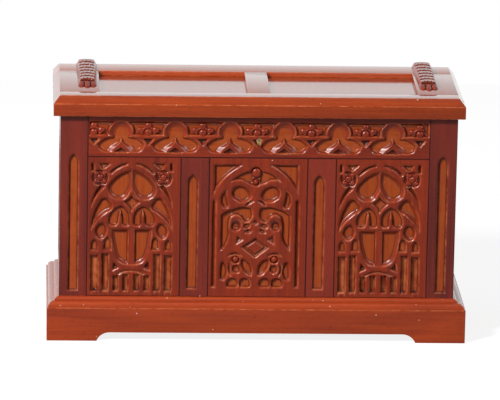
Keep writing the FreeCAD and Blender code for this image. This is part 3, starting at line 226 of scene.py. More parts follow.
def sizes():
    """The sizes now set in the scene."""
    return bpy.context.scene.chest_sizes


def shade(name):
    """One of the colours now set in the scene, with full cover."""
    return (*getattr(bpy.context.scene.chest_colours, name), 1.0)


def unit(value):
    """Values kept between 0 and 1."""
    return np.clip(value, 0, 1)


# Node trees

SOCKETS = {"colour": "NodeSocketColor", "value": "NodeSocketFloat", "whole": "NodeSocketInt",
           "place": "NodeSocketVector", "shape": "NodeSocketGeometry", "finish": "NodeSocketMaterial"}


class Tree:
    """A node tree that nodes are added to and linked in, one line each."""

    def __init__(self, tree):
        self.tree = tree

    def put(self, value, socket):
        """Links an input to another node's output, or sets it to a plain value."""
        if isinstance(value, bpy.types.NodeSocket):
            self.tree.links.new(value, socket)
        else:
            socket.default_value = value

    def add(self, kind, inputs=None, **settings):
        """A new node, with its settings and its inputs set or linked."""
        node = self.tree.nodes.new(kind)
        for name, value in settings.items():
            setattr(node, name, value)
        for key, value in (inputs or {}).items():
            self.put(value, node.inputs[key])
        return node

    def out(self, kind, inputs=None, **settings):
        """The first output of a new node."""
        return self.add(kind, inputs, **settings).outputs[0]

    def group(self, name, make, inputs):
        """The outputs of a shared group, with its inputs set or linked."""
        return self.add("ShaderNodeGroup", inputs, node_tree=shared(name, make)).outputs

    def done(self, ends, results):
        """The tree itself, with its results linked to its ends."""
        for name, value in results.items():
            self.put(value, ends[name])
        return self.tree

    def math(self, operation, a, b, clamp=False):
        """A sum of two values."""
        return self.out("ShaderNodeMath", {0: a, 1: b}, operation=operation, use_clamp=clamp)

    def plus(self, a, b, clamp=False):
        """Two values added."""
        return self.math("ADD", a, b, clamp)

    def times(self, a, b):
        """Two values multiplied."""
        return self.math("MULTIPLY", a, b)

    def blend(self, a, a_share, b, b_share):
        """Two values added, each in its share."""
        return self.plus(self.times(a, a_share), self.times(b, b_share))

    def mix(self, factor, a, b, blend="MIX"):
        """A mix of two colours."""
        return self.add("ShaderNodeMix", {0: factor, 6: a, 7: b}, data_type="RGBA", blend_type=blend).outputs[2]

    def ramp(self, value, low, high, to_low=0.0, to_high=1.0):
        """A value moved from one range to another, and kept in it."""
        return self.out("ShaderNodeMapRange", {0: value, 1: low, 2: high, 3: to_low, 4: to_high})

    def attribute(self, name, output="Fac"):
        """A value kept on the piece's own mesh."""
        return self.add("ShaderNodeAttribute", attribute_name=name).outputs[output]

    def noise(self, vector, scale, detail=2.0, distortion=0.0):
        """Cloudy variation, finer where the scale is larger. The scale is one number or three."""
        if not isinstance(scale, tuple):
            scale = (scale, scale, scale)
        scaled = self.out("ShaderNodeVectorMath", {0: vector, 1: scale}, operation="MULTIPLY")
        return self.out("ShaderNodeTexNoise", {"Vector": scaled, "Scale": 1.0, "Detail": detail,
                                               "Distortion": distortion})

    def position(self):
        """The place on the object."""
        return self.add("ShaderNodeTexCoord").outputs["Object"]

    def place(self, x=0.0, y=0.0, z=0.0):
        """A place, or a size along the three axes, from three values."""
        return self.out("ShaderNodeCombineXYZ", {0: x, 1: y, 2: z})

    def looked_at(self):
        """One where something is seen, straight or in a reflection, and zero where it only lights."""
        path = self.add("ShaderNodeLightPath").outputs
        seen = self.math("MAXIMUM", path["Is Camera Ray"], path["Is Glossy Ray"])
        return self.math("MAXIMUM", seen, path["Is Transmission Ray"])

    def surface(self, height, strength, relief, inputs):
        """A Principled surface with a fine relief, its depth in millimetres, and its inputs set or linked."""
        bump = self.out("ShaderNodeBump", {"Height": height, "Strength": strength, "Distance": relief * MM})
        shader = self.out("ShaderNodeBsdfPrincipled", {"Normal": bump, **inputs})
        self.add("ShaderNodeOutputMaterial", {"Surface": shader})


def new_group(name, kind, inputs, outputs):
    """An empty node group with named sockets: its tree, what it is given, and its ends."""
    group = bpy.data.node_groups.new(name, kind)
    for way, wanted in (("INPUT", inputs), ("OUTPUT", outputs)):
        for socket_name, socket_kind in wanted.items():
            group.interface.new_socket(socket_name, in_out=way, socket_type=SOCKETS[socket_kind])
    tree = Tree(group)
    return tree, tree.add("NodeGroupInput").outputs, tree.add("NodeGroupOutput").inputs


def shared(name, make):
    """A node group, made when it is first asked for."""
    return bpy.data.node_groups.get(name) or make(name)


def mahogany_grain(name):
    """Shared group: figure, fine grain and pores along each board."""
    tree, given, ends = new_group(name, "ShaderNodeTree", {"Light": "colour", "Dark": "colour"},
                                  {"Color": "colour", "Roughness": "value", "Height": "value"})
    grain = tree.attribute("grain", "Vector")
    figure = tree.noise(grain, (5.0, 42.0, 42.0), 3.0, 1.4)
    fine = tree.noise(grain, (11.0, 430.0, 430.0), 4.0, 0.3)
    pore = tree.times(tree.ramp(tree.noise(grain, (170.0, 2600.0, 2600.0), 1.0), 0.60, 0.72), 0.55)
    light = tree.ramp(tree.blend(figure, 0.55, fine, 0.45), 0.3, 0.7)
    light = tree.plus(light, tree.attribute("tone"), clamp=True)
    wood = tree.mix(light, given["Dark"], given["Light"])
    return tree.done(ends, {"Color": tree.mix(pore, wood, PORE_STAIN, "MULTIPLY"),
                            "Roughness": tree.plus(tree.blend(fine, 0.12, pore, 0.15), 0.1),
                            "Height": tree.math("SUBTRACT", tree.times(fine, 0.35), pore)})


def carving_wear_and_painted_light(name):
    """Shared group: bright hollows, crevices darkened by stain together with painted shade, and arrises lightened
    by rubbing together with painted highlights, from the mesh's own masks.
    """
    tree, given, ends = new_group(name, "ShaderNodeTree",
                                  {"Color": "colour", "Hollow": "colour", "Crevice": "colour",
                                   "Edge": "colour", "Rub and highlight": "value"}, {"Color": "colour"})
    patchy = tree.ramp(tree.noise(tree.position(), 120.0, 3.0), 0.35, 0.7)
    grain = tree.noise(tree.attribute("grain", "Vector"), (30.0, 500.0, 500.0), 3.0)
    floor = tree.mix(tree.ramp(grain, 0.4, 0.7), given["Hollow"], FLOOR_STAIN, "MULTIPLY")
    wood = tree.mix(tree.attribute("hollow"), given["Color"], floor)
    # Stain together with painted shade in deep corners and at the feet of walls
    wood = tree.mix(tree.attribute("stain_and_shade"), wood, given["Crevice"])
    # Rubbed wear together with painted highlights, and painted light on pale floors, from the mesh's edge mask
    rubbed = tree.times(tree.attribute("edge"), tree.times(patchy, given["Rub and highlight"]))
    return tree.done(ends, {"Color": tree.mix(rubbed, wood, given["Edge"])})


def dust_specks(name):
    """Shared group: a mask of tiny pale specks in the lacquer."""
    tree, given, ends = new_group(name, "ShaderNodeTree", {"Amount": "value"}, {"Mask": "value"})
    cell = tree.add("ShaderNodeTexVoronoi", {"Vector": tree.position(), "Scale": 300.0}).outputs
    near = tree.ramp(cell["Distance"], 0.1, 0.24, 0.9, 0.0)
    chance = tree.out("ShaderNodeSeparateColor", {0: cell["Color"]})
    chosen = tree.math("LESS_THAN", chance, tree.times(given["Amount"], tree.attribute("ledge")))
    return tree.done(ends, {"Mask": tree.times(near, chosen)})


def metal_tarnish(name):
    """Shared group: dull patches and fine scratches on metal."""
    tree, given, ends = new_group(name, "ShaderNodeTree", {"Clean": "colour", "Dull": "colour"},
                                  {"Color": "colour", "Roughness": "value", "Height": "value"})
    place = tree.position()
    patch = tree.ramp(tree.noise(place, 140.0, 5.0, 0.6), 0.4, 0.68)
    scratch = tree.noise(place, (60.0, 2400.0, 2400.0), 2.0)
    return tree.done(ends, {"Color": tree.mix(patch, given["Clean"], given["Dull"]),
                            "Roughness": tree.plus(tree.blend(patch, 0.24, scratch, 0.14), 0.16),
                            "Height": tree.plus(scratch, patch)})


# Finishes

def mahogany(tree, wood, rub_and_highlight=0.7, dust=0.004, glow=None):
    """Lacquered mahogany. Rubbing lightens its arrises, as wear together with painted highlights. With a glow,
    which is painted light and shade, it goes from a lighter golden below to a darker red above, between two
    heights.
    """
    grain = tree.group("Mahogany grain", mahogany_grain,
                       {"Light": shade(wood + "_light"), "Dark": shade(wood + "_dark")})
    wear = tree.group("Carving wear and painted light", carving_wear_and_painted_light,
                      {"Color": grain["Color"], "Hollow": shade("hollow"), "Crevice": shade("stain_and_shade"),
                       "Edge": shade("wear_and_highlight"), "Rub and highlight": rub_and_highlight})
    specks = tree.group("Dust specks", dust_specks, {"Amount": dust})
    seen = tree.mix(specks["Mask"], wear["Color"], DUST)
    # The glow is painted light and shade: lighter golden at the base's foot and darker red higher up, as shade
    # under the moulding
    if glow:
        height = tree.add("ShaderNodeSeparateXYZ", {0: tree.position()}).outputs[2]
        seen = tree.mix(1.0, seen, tree.mix(tree.ramp(height, *glow), LIT_GOLDEN_FOOT, SHADED_RED_TOP), "MULTIPLY")
    slant = tree.ramp(tree.add("ShaderNodeLayerWeight").outputs["Facing"], 0.35, 0.72, 0.15, 1.0)
    tree.surface(grain["Height"], 0.25, 0.12,
                 {"Base Color": seen, "Roughness": grain["Roughness"], "Specular IOR Level": 0.13,
                  "Coat Weight": tree.times(tree.attribute("polish"), slant), "Coat Roughness": 0.09,
                  "Coat IOR": 2.4, "Coat Tint": LACQUER})


def metal(tree, clean, dull):
    """A solid metal with dull patches."""
    tarnish = tree.group("Metal tarnish", metal_tarnish, {"Clean": shade(clean), "Dull": shade(dull)})
    tree.surface(tarnish["Height"], 0.12, 0.05,
                 {"Base Color": tarnish["Color"], "Roughness": tarnish["Roughness"], "Metallic": 1.0})


def woven_baize(tree):
    """Short-napped wool cloth."""
    place = tree.position()
    nap = tree.blend(tree.noise(place, 2600.0, 3.0, 0.8), 0.7, tree.noise(place, 40.0, 3.0), 0.3)
    tree.surface(nap, 0.6, 0.3,
                 {"Base Color": tree.mix(tree.ramp(nap, 0.35, 0.65), shade("baize_shade"), shade("baize")),
                  "Roughness": tree.ramp(nap, 0.3, 0.7, 0.98, 0.86), "Specular IOR Level": 0.1,
                  "Sheen Weight": 0.35, "Sheen Roughness": 0.5})


# How each of the record's slots is finished
FINISHES = {
    "mahogany_carved": (mahogany, {"wood": "carved"}),
    "mahogany_frame": (mahogany, {"wood": "frame"}),
    "mahogany_plain": (mahogany, {"wood": "frame"}),
    "mahogany_lid": (mahogany, {"wood": "lid"}),
    # The base's glow paints it darker under the moulding, as shade, and lighter towards its foot
    "mahogany_base": (mahogany, {"wood": "base", "rub_and_highlight": 1.0, "dust": 0.03, "glow": (6 * MM, 27 * MM)}),
    "brass": (metal, {"clean": "brass", "dull": "brass_dull"}),
    "lock_steel": (metal, {"clean": "steel", "dull": "steel_dull"}),
    "baize": (woven_baize, {}),
}


def bare_tree(owner):
    """The emptied node tree of a material or a world."""
    owner.use_nodes = True
    owner.node_tree.nodes.clear()
    return Tree(owner.node_tree)


def finish(slot):
    """The material of one of the record's slots, made when it is first asked for."""
    material = bpy.data.materials.get("finish_" + slot)
    if not material:
        material = bpy.data.materials.new("finish_" + slot)
        make, looks = FINISHES[slot]
        make(bare_tree(material), **looks)
    return material


# Pieces

GRAIN_AXES = {"x": (0, 1, 2), "y": (1, 0, 2), "z": (2, 0, 1)}

# How far the grain moves on from board to board, and where it starts again
GRAIN_STEP, GRAIN_RANGE = np.array([0.731, 0.417, 0.253]), np.array([7.0, 5.0, 3.0])


def set_values(mesh, name, kind, domain, values):
    """Keeps values on a mesh for its material to read."""
    layer = mesh.attributes.get(name) or mesh.attributes.new(name, kind, domain)
    key = "vector" if kind == "FLOAT_VECTOR" else "value"
    layer.data.foreach_set(key, np.asarray(values, np.float32).ravel())


def read(items, key):
    """Three numbers of each point or face of a mesh."""
    values = np.zeros(len(items) * 3, np.float32)
    items.foreach_get(key, values)
    return values.reshape(-1, 3)


def put_in(name, data):
    """A new object in the scene."""
    thing = bpy.data.objects.new(name, data)
    bpy.context.scene.collection.objects.link(thing)
    return thing


def add_piece(node, ending, mesh, slot, grain="x", tone=0.0, polish=0.0):
    """Puts a finished mesh in the scene in place of its node, riding where the node rides."""
    name = node + ending
    co = read(mesh.vertices, "co")
    shift = GRAIN_STEP * sum(map(ord, name)) % GRAIN_RANGE
    up = read(mesh.polygons, "normal")[:, 2]
    set_values(mesh, "grain", "FLOAT_VECTOR", "POINT", co[:, GRAIN_AXES[grain]] + shift)
    set_values(mesh, "tone", "FLOAT", "POINT", np.full(len(co), tone))
    ledge = (up > LEDGE_STEEP) & (up < LEDGE_LEVEL)
    set_values(mesh, "ledge", "FLOAT", "FACE", PLAIN_DUST + LEDGE_DUST * ledge)
    set_values(mesh, "polish", "FLOAT", "FACE", np.broadcast_to(polish, len(up)))
    mesh.materials.clear()
    mesh.materials.append(finish(slot))
    piece = put_in(name, mesh)
    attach(piece, NODES[node]["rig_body"])
    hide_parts(node)
    return piece


def polish_of(mesh, top, ends=0.0, wall=0.0):
    """How far each face is polished: on top, on sloping ends, and on walls that face the front."""
    x, y, z = read(mesh.polygons, "normal").T
    return np.select([z > 0.9, (np.abs(x) > 0.3) & (z > 0.3), y < -0.9], [top, ends, wall], 0.0)


def merged_copy(node):
    """A node's solid as joined faces, with flat parts in one piece."""
    solid = bmesh.new()
    solid.from_mesh(NODES[node].data)
    bmesh.ops.remove_doubles(solid, verts=solid.verts, dist=1e-6)
    bmesh.ops.dissolve_limit(solid, angle_limit=math.radians(0.4), verts=solid.verts, edges=solid.edges)
    return solid


def outer_arrises(solid, planes):
    """Sharp outward edges that lie on one of the planes, given as an axis and a place along it."""
    sharp = [edge for edge in solid.edges
             if edge.is_manifold and edge.is_convex and edge.calc_face_angle() >= math.radians(ARRIS)]
    return [edge for edge in sharp
            if any(all(abs(v.co[axis] - place) < 1e-5 for v in edge.verts) for axis, place in planes)]


def softened(node, planes, width=None):
    """A node's mesh with its arrises on those planes rounded, and marked for wear together with painted highlights.
    """
    solid = merged_copy(node)
    arrises = outer_arrises(solid, planes)
    edge_layer = solid.loops.layers.float.new("edge")
    if arrises:
        made = bmesh.ops.bevel(solid, geom=arrises, offset=width or sizes().edge_round, offset_type="OFFSET",
                               segments=3, profile=0.5, affect="EDGES", clamp_overlap=False)
        for face in made["faces"]:
            for loop in face.loops:
                loop[edge_layer] = 1.0
    return to_mesh(solid, node, BOARD_SHARP)


def to_mesh(solid, name, sharp):
    """A plain mesh from a solid, smooth across gentle angles."""
    mesh = bpy.data.meshes.new(name)
    solid.to_mesh(mesh)
    solid.free()
    return smoothed(mesh, sharp)


def smoothed(mesh, sharp):
    """A mesh made smooth, except where it turns by more than a number of degrees."""
    mesh.shade_smooth()
    mesh.set_sharp_from_angle(angle=math.radians(sharp))
    return mesh


def add_plain(node, planes, grain, tone=0.0):
    """A plain board with its shown arrises rounded."""
    add_piece(node, "_board", softened(node, planes), "mahogany_plain", grain, tone)


def polish(node, slot):
    """Gives a node that keeps its own shape its finish."""
    data = NODES[node].data
    data.materials.clear()
    data.materials.append(finish(slot))


# Carving: outlines are drawn in millimetres, across from the middle and up from the foot

def arc(start, middle, end, count=10):
    """Points after the start of an arc through a middle point."""
    a, b, c = (complex(*p) for p in (start, middle, end))
    turn = (c - a) / (b - a)
    if abs(turn.imag) < 1e-6:
        return [end]
    centre = (b - a) * (turn - abs(turn) ** 2) / (2j * turn.imag) + a
    first, mid, last = (np.angle(p - centre) for p in (a, b, c))
    sweep = (last - first) % (2 * np.pi)
    if (mid - first) % (2 * np.pi) > sweep:
        sweep -= 2 * np.pi
    turns = first + sweep * np.arange(1, count + 1) / count
    spots = centre + abs(a - centre) * np.exp(1j * turns)
    return [(p.real, p.imag) for p in spots]


def trace(start, *steps):
    """An outline. A step is a point for a straight line, or two points for an arc through the first."""
    points = [start]
    for step in steps:
        points += arc(points[-1], *step) if isinstance(step[0], tuple) else [step]
    return np.array(points, float)


def mirrored(start, *steps):
    """An outline that is the same on both sides of the middle, traced along its right side."""
    half = trace(start, *steps)
    return np.concatenate([half, half[::-1] * (-1, 1)])


def lancet(centre, foot, top, width):
    """A tall slot with a pointed head."""
    half, spring = width / 2, top - 0.866 * width
    head = ((0.866 * width - half, spring + half), (0.0, top))
    return mirrored((half, foot), (half, spring), head) + (centre, 0)


def square_slot(centre, foot, top, width):
    """A tall slot with a square head."""
    return mirrored((width / 2, foot), (width / 2, top)) + (centre, 0)


def disc(centre, radius):
    """A round hollow."""
    x, y = centre
    return trace((x - radius, y), ((x, y + radius), (x + radius, y)), ((x, y - radius), (x - radius, y)))


def outline_distance(points, u, w):
    """Distance of places from an outline, below zero inside it."""
    best = np.full(u.shape, np.inf)
    inside = np.zeros(u.shape, bool)
    for (x0, y0), (x1, y1) in zip(points, np.roll(points, -1, axis=0)):
        dx, dy = x1 - x0, y1 - y0
        run = dx * dx + dy * dy
        if run < 1e-12:
            continue
        t = unit(((u - x0) * dx + (w - y0) * dy) / run)
        best = np.minimum(best, np.hypot(u - x0 - t * dx, w - y0 - t * dy))
        if dy:
            inside ^= ((y0 > w) != (y1 > w)) & (u < x0 + (w - y0) * dx / dy)
    return np.where(inside, -best, best)


def grid_line(low, high, step, rounding):
    """Places along one side of a carved face, closer together at its two rounded ends."""
    ends = rounding * np.array([0.0, 0.12, 0.32, 0.62, 1.0])
    count = max(2, int(round((high - low - 2 * rounding) / step)))
    middle = np.linspace(low + rounding, high - rounding, count + 1)[1:-1]
    return np.concatenate([low + ends, middle, (high - ends)[::-1]])


def from_ends(line):
    """How far the places along a side are from its ends."""
    return np.minimum(line - line[0], line[-1] - line)


def blurred(field, reach):
    """A field averaged over a square of cells."""
    span = 2 * reach + 1
    for axis in (0, 1):
        pad = [(reach + 1, reach) if a == axis else (0, 0) for a in (0, 1)]
        total = np.cumsum(np.pad(field, pad, mode="edge"), axis=axis)
        ahead = np.take(total, range(span, total.shape[axis]), axis=axis)
        behind = np.take(total, range(0, total.shape[axis] - span), axis=axis)
        field = (ahead - behind) / span
    return field


def floor_share(fall):
    """How much of a hollow's floor shows at a share of its wall's fall."""
    return unit((fall - 0.55) / 0.4)


class Carving:
    """How deep a carved face lies below its board's front, in millimetres."""

    def __init__(self, half, height, shift, seam=PANEL_SEAM):
        s = sizes()
        self.shift, self.seam = shift, seam
        self.edge, self.deep = s.edge_round / MM, s.carving_depth / MM
        self.rib_round, self.rib_drop = s.rib_round / MM, s.rib_drop / MM
        self.u = grid_line(-half, half, s.carving_step / MM, self.edge)
        self.w = grid_line(0.0, height, s.carving_step / MM, self.edge)
        shape = (len(self.w), len(self.u))
        self.gap = np.full(shape, FAR)
        # Per place: depth, share of bright floor, dark lines and darkened floors (stain together with painted
        # shade), and floors painted paler as painted light
        self.depth, self.floor, self.stain, self.pale = (np.zeros(shape) for _ in range(4))

    def near(self, points, reach):
        """The part of the face round an outline, and how far each place in it is from the outline."""
        points = points + (self.shift, 0)
        (u_low, w_low), (u_high, w_high) = points.min(0) - reach, points.max(0) + reach
        cols = slice(*np.searchsorted(self.u, (u_low, u_high)))
        rows = slice(*np.searchsorted(self.w, (w_low, w_high)))
        return (rows, cols), outline_distance(points, *np.meshgrid(self.u[cols], self.w[rows]))

    def at_height(self, value, spot):
        """A plain value, or one that changes with height, over a part of the face."""
        return value(self.w[spot[0]])[:, None] if callable(value) else value

    def hollow(self, points, depth, cove, bright=1.0, line=0.8):
        """Sinks one outline to a depth, with sloping walls of a given width and a dark line at their foot, which is
        stain together with painted shade. A bright floor shows bare wood up to 1 and above it is painted paler, as
        painted light. Below 0 it is darkened."""
        spot, away = self.near(points, self.rib_round + 1)
        cove, bright = self.at_height(cove, spot), self.at_height(bright, spot)
        self.gap[spot] = np.minimum(self.gap[spot], away)
        fall = unit(-away / cove)
        slope = 0.7 * fall + 0.3 * np.sin(fall * np.pi / 2)
        sunk = self.rib_drop + (depth - self.rib_drop) * slope
        self.depth[spot] = np.where(away < 0, np.maximum(self.depth[spot], sunk), self.depth[spot])
        floor = floor_share(fall)
        # The dark line at the foot of the wall is stain together with painted shade
        foot = line * np.exp(-((away + cove) / WALL_STAIN_SHADE_LINE) ** 2)
        # A brightness above 1 paints the floor paler in the edge colour, as painted light
        for field, values in ((self.floor, unit(bright) * floor), (self.pale, np.maximum(bright - 1, 0) * floor),
                              (self.stain, np.maximum(foot, np.maximum(-bright, 0) * floor))):
            field[spot] = np.maximum(field[spot], values)

    def sink(self, *cuts):
        """Hollows on both sides of the middle: outline, share of the full depth, width of the walls, brightness. A
        brightness above 1 paints the floor paler as painted light, below 0 darker.
        """
        for points, share, cove, bright in cuts:
            for way in (1, -1):
                self.hollow(points * (way, 1), share * self.deep, cove, bright)

    def ridge(self, points, drop, depth, cove):
        """Leaves wood standing in an outline inside a hollow, with sides that slope down to a depth."""
        spot, away = self.near(points, RIDGE_REACH)
        cove = self.at_height(cove, spot)
        rise = unit(away / cove)
        stands = np.where(rise < 1, drop + (depth - drop) * rise, FAR)
        self.depth[spot] = np.minimum(self.depth[spot], stands)
        self.floor[spot] = np.minimum(self.floor[spot], floor_share(rise))
        # The dark line at the foot of the ridge's slopes is stain together with painted shade
        foot = 0.9 * np.exp(-((away - cove) / RIDGE_STAIN_SHADE_LINE) ** 2) * (self.depth[spot] > 0.8 * depth)
        self.stain[spot] = np.maximum(self.stain[spot] * rise, foot)
        self.pale[spot] *= rise

    def rounded(self):
        """The depths with the ribs and the board's own edges rounded over."""
        rest = 1 - unit(self.gap / self.rib_round)
        depth = np.where(self.gap > 0, np.maximum(self.depth, self.rib_drop * rest ** 2), self.depth)
        depth = blurred(depth, 1)
        for line in (self.u[None, :], self.w[:, None]):
            turn = 1 - unit(from_ends(line.ravel()).reshape(line.shape) / self.edge)
            depth = depth + self.edge * (1 - np.sqrt(1 - turn ** 2))
        return depth

    def stained(self):
        """The dark lines round the floors, stain together with painted shade, the darkened floors, and the dark
        seams along a board's own edges.
        """
        rim = np.minimum(from_ends(self.u)[None, :], from_ends(self.w)[:, None])
        return np.maximum(self.stain, np.clip(1.3 - rim / self.seam, 0, 0.88))


def relief_mesh(name, top, base, masks):
    """A closed mesh from a grid of carved points and the same grid laid flat behind it."""
    rows, cols = top.shape[:2]
    index = np.arange(rows * cols).reshape(rows, cols)
    quads = np.stack([index[:-1, :-1], index[:-1, 1:], index[1:, 1:], index[1:, :-1]], -1).reshape(-1, 4)
    ring = np.concatenate([index[0, :-1], index[:-1, -1], index[-1, :0:-1], index[:0:-1, 0]])
    under = rows * cols + np.arange(len(ring))
    walls = np.stack([ring, under, np.roll(under, -1), np.roll(ring, -1)], -1)
    places = np.concatenate([top.reshape(-1, 3), base.reshape(-1, 3)[ring]])
    mesh = bpy.data.meshes.new(name)
    mesh.from_pydata(places.tolist(), [], quads.tolist() + walls.tolist() + [under[::-1].tolist()])
    for mask, values in masks.items():
        set_values(mesh, mask, "FLOAT", "POINT", np.concatenate([values.ravel(), np.zeros(len(ring))]))
    return smoothed(mesh, CARVING_SHARP)


def carved_front(node, carving, x_middle, z_foot):
    """The carved front slab of a board, with masks of where it is rubbed and carries painted highlights, where it
    is stained and carries painted shade, and where it is bright.
    """
    depth = carving.rounded()
    u, w = np.meshgrid(carving.u, carving.w)
    x, z = x_middle + u * MM, z_foot + w * MM
    top = np.stack([x, FRONT + depth * MM, z], -1)
    base = np.stack([x, np.full_like(x, FRONT + sizes().slab_depth), z], -1)
    stands = blurred(depth, 3) - depth
    # Crests are lightened as rubbed wear together with painted highlights, and the rims carry painted highlight
    # lines
    rubbed = unit(stands / 0.5 - 0.4)
    rims = np.exp(-(carving.gap / RIM_HIGHLIGHT_LINE) ** 2)
    # Places deeper than their surroundings are darkened, painted shade together with stain
    stain_and_shade = np.clip(-stands / 0.9 - 0.35, 0, 0.6)
    return relief_mesh(node + "_slab", top, base,
                       {"edge": np.maximum.reduce([rubbed, carving.pale, rims]),
                        "stain_and_shade": np.maximum(stain_and_shade, carving.stained()), "hollow": unit(carving.floor)})


def plain_back(node):
    """What a carved board keeps of its node behind the carved slab."""
    solid = merged_copy(node)
    cut = bmesh.ops.bisect_plane(solid, geom=[*solid.verts, *solid.edges, *solid.faces], dist=1e-7,
                                 plane_co=(0, FRONT + sizes().slab_depth, 0), plane_no=(0, 1, 0),
                                 clear_inner=True)
    rims = [e for e in cut["geom_cut"] if isinstance(e, bmesh.types.BMEdge)]
    bmesh.ops.triangle_fill(solid, edges=rims, use_beauty=True, use_dissolve=True, normal=(0, -1, 0))
    return solid


def carved_board(node, mesh, slot, grain, tone=0.0):
    """A carved slab joined to the plain back of its board, in place of the node."""
    solid = plain_back(node)
    solid.from_mesh(mesh)
    bpy.data.meshes.remove(mesh)
    add_piece(node, "_carved", to_mesh(solid, node, CARVING_SHARP), slot, grain, tone)


def side_panel_hollows(face):
    """The flowing tracery of a side panel: arch, mouchettes, hearts, shield and lancets."""
    deep = face.deep
    tear = trace((0.2, 130.0), ((13.5, 124.8), (21.5, 117.0)), ((24.2, 108.0), (18.7, 100.8)),
                 ((9.6, 99.4), (3.0, 106.0)), ((-0.6, 114.0), (-0.6, 122.0)))
    dagger = trace((40.3, 68.0), ((38.9, 84.0), (33.0, 96.6)), ((27.4, 101.4), (21.0, 97.2)),
                   ((19.2, 91.0), (24.4, 86.6)), ((33.0, 79.2), (40.3, 68.0)))
    heart = trace((11.3, 86.6), (10.0, 82.0), (9.8, 77.6), ((5.8, 72.0), (1.8, 77.6)),
                  ((4.0, 87.6), (11.3, 92.8)), ((19.6, 87.6), (23.6, 77.8)),
                  ((18.4, 72.0), (13.0, 77.6)), (12.8, 82.0))
    shield = mirrored((20.4, 68.8), ((18.8, 52.5), (15.2, 39.6)), ((9.6, 34.0), (0.0, 32.4)))
    leaf = trace((28.0, 75.2), ((24.2, 68.0), (31.0, 58.4)), ((36.8, 66.5), (28.0, 75.2)))
    edge_slot = trace((31.4, 114.8), ((37.4, 105.0), (40.4, 91.2)), ((35.2, 102.6), (27.0, 112.6)))
    arch_slot = trace((20.9, 125.6), ((13.2, 131.8), (4.2, 135.2)), (4.6, 136.8),
                      ((14.2, 133.8), (22.4, 127.0)))
    low_arch = trace((13.4, 23.2), ((6.8, 26.2), (0.0, 26.8)), (0.0, 25.4), ((6.6, 24.8), (12.6, 22.0)))
    diamond = mirrored((0.0, 104.6), ((3.8, 99.8), (8.0, 97.0)), ((3.6, 92.8), (0.0, 87.0)))
    face.sink((tear, 1.0, 3.5, 1.0), (dagger, 1.0, 2.9, 1.0), (heart, 0.9, 1.2, 0.9))
    face.hollow(shield, deep, 3.4)
    face.ridge(square_slot(0.0, 28.0, 72.0, 6.8), 0.3 * deep, deep, 1.0)
    face.sink((disc(SIDE_ROSETTE, 8.4), 0.6, 1.2, -0.5), (leaf, 0.9, 2.2, 0.8), (edge_slot, 0.95, 1.5, 0.3),
              (arch_slot, 0.8, 0.8, -0.5), (low_arch, 0.6, 0.7, -0.4),
              (lancet(36.9, 46.8, 58.6, 6.8), 0.85, 1.4, 1.3), (lancet(23.8, 47.4, 61.0, 7.4), 0.85, 1.4, 1.3),
              (lancet(39.2, 128.4, 137.2, 2.8), 0.9, 1.0, -0.9),
              (trace((21.6, 136.4), (33.4, 136.4), (29.4, 130.0)), 0.9, 1.0, 1.2),
              (trace((17.6, 35.6), (18.8, 26.0), (12.4, 29.6)), 0.95, 1.2, -0.7))
    for middle, foot, top, width in ((36.8, 5.2, 42.0, 7.4), (25.9, 5.3, 43.4, 6.4),
                                     (15.5, 5.4, 21.0, 5.4), (5.5, 5.4, 22.6, 5.2)):
        face.sink((square_slot(middle, foot, top, width), 1.2, 0.9, 1.8),
                  (lancet(middle, foot, foot + 2.4, width - 1.0), 1.2, 0.3, -1.0))
    face.hollow(diamond, 0.95 * deep, 1.5, 1.1)


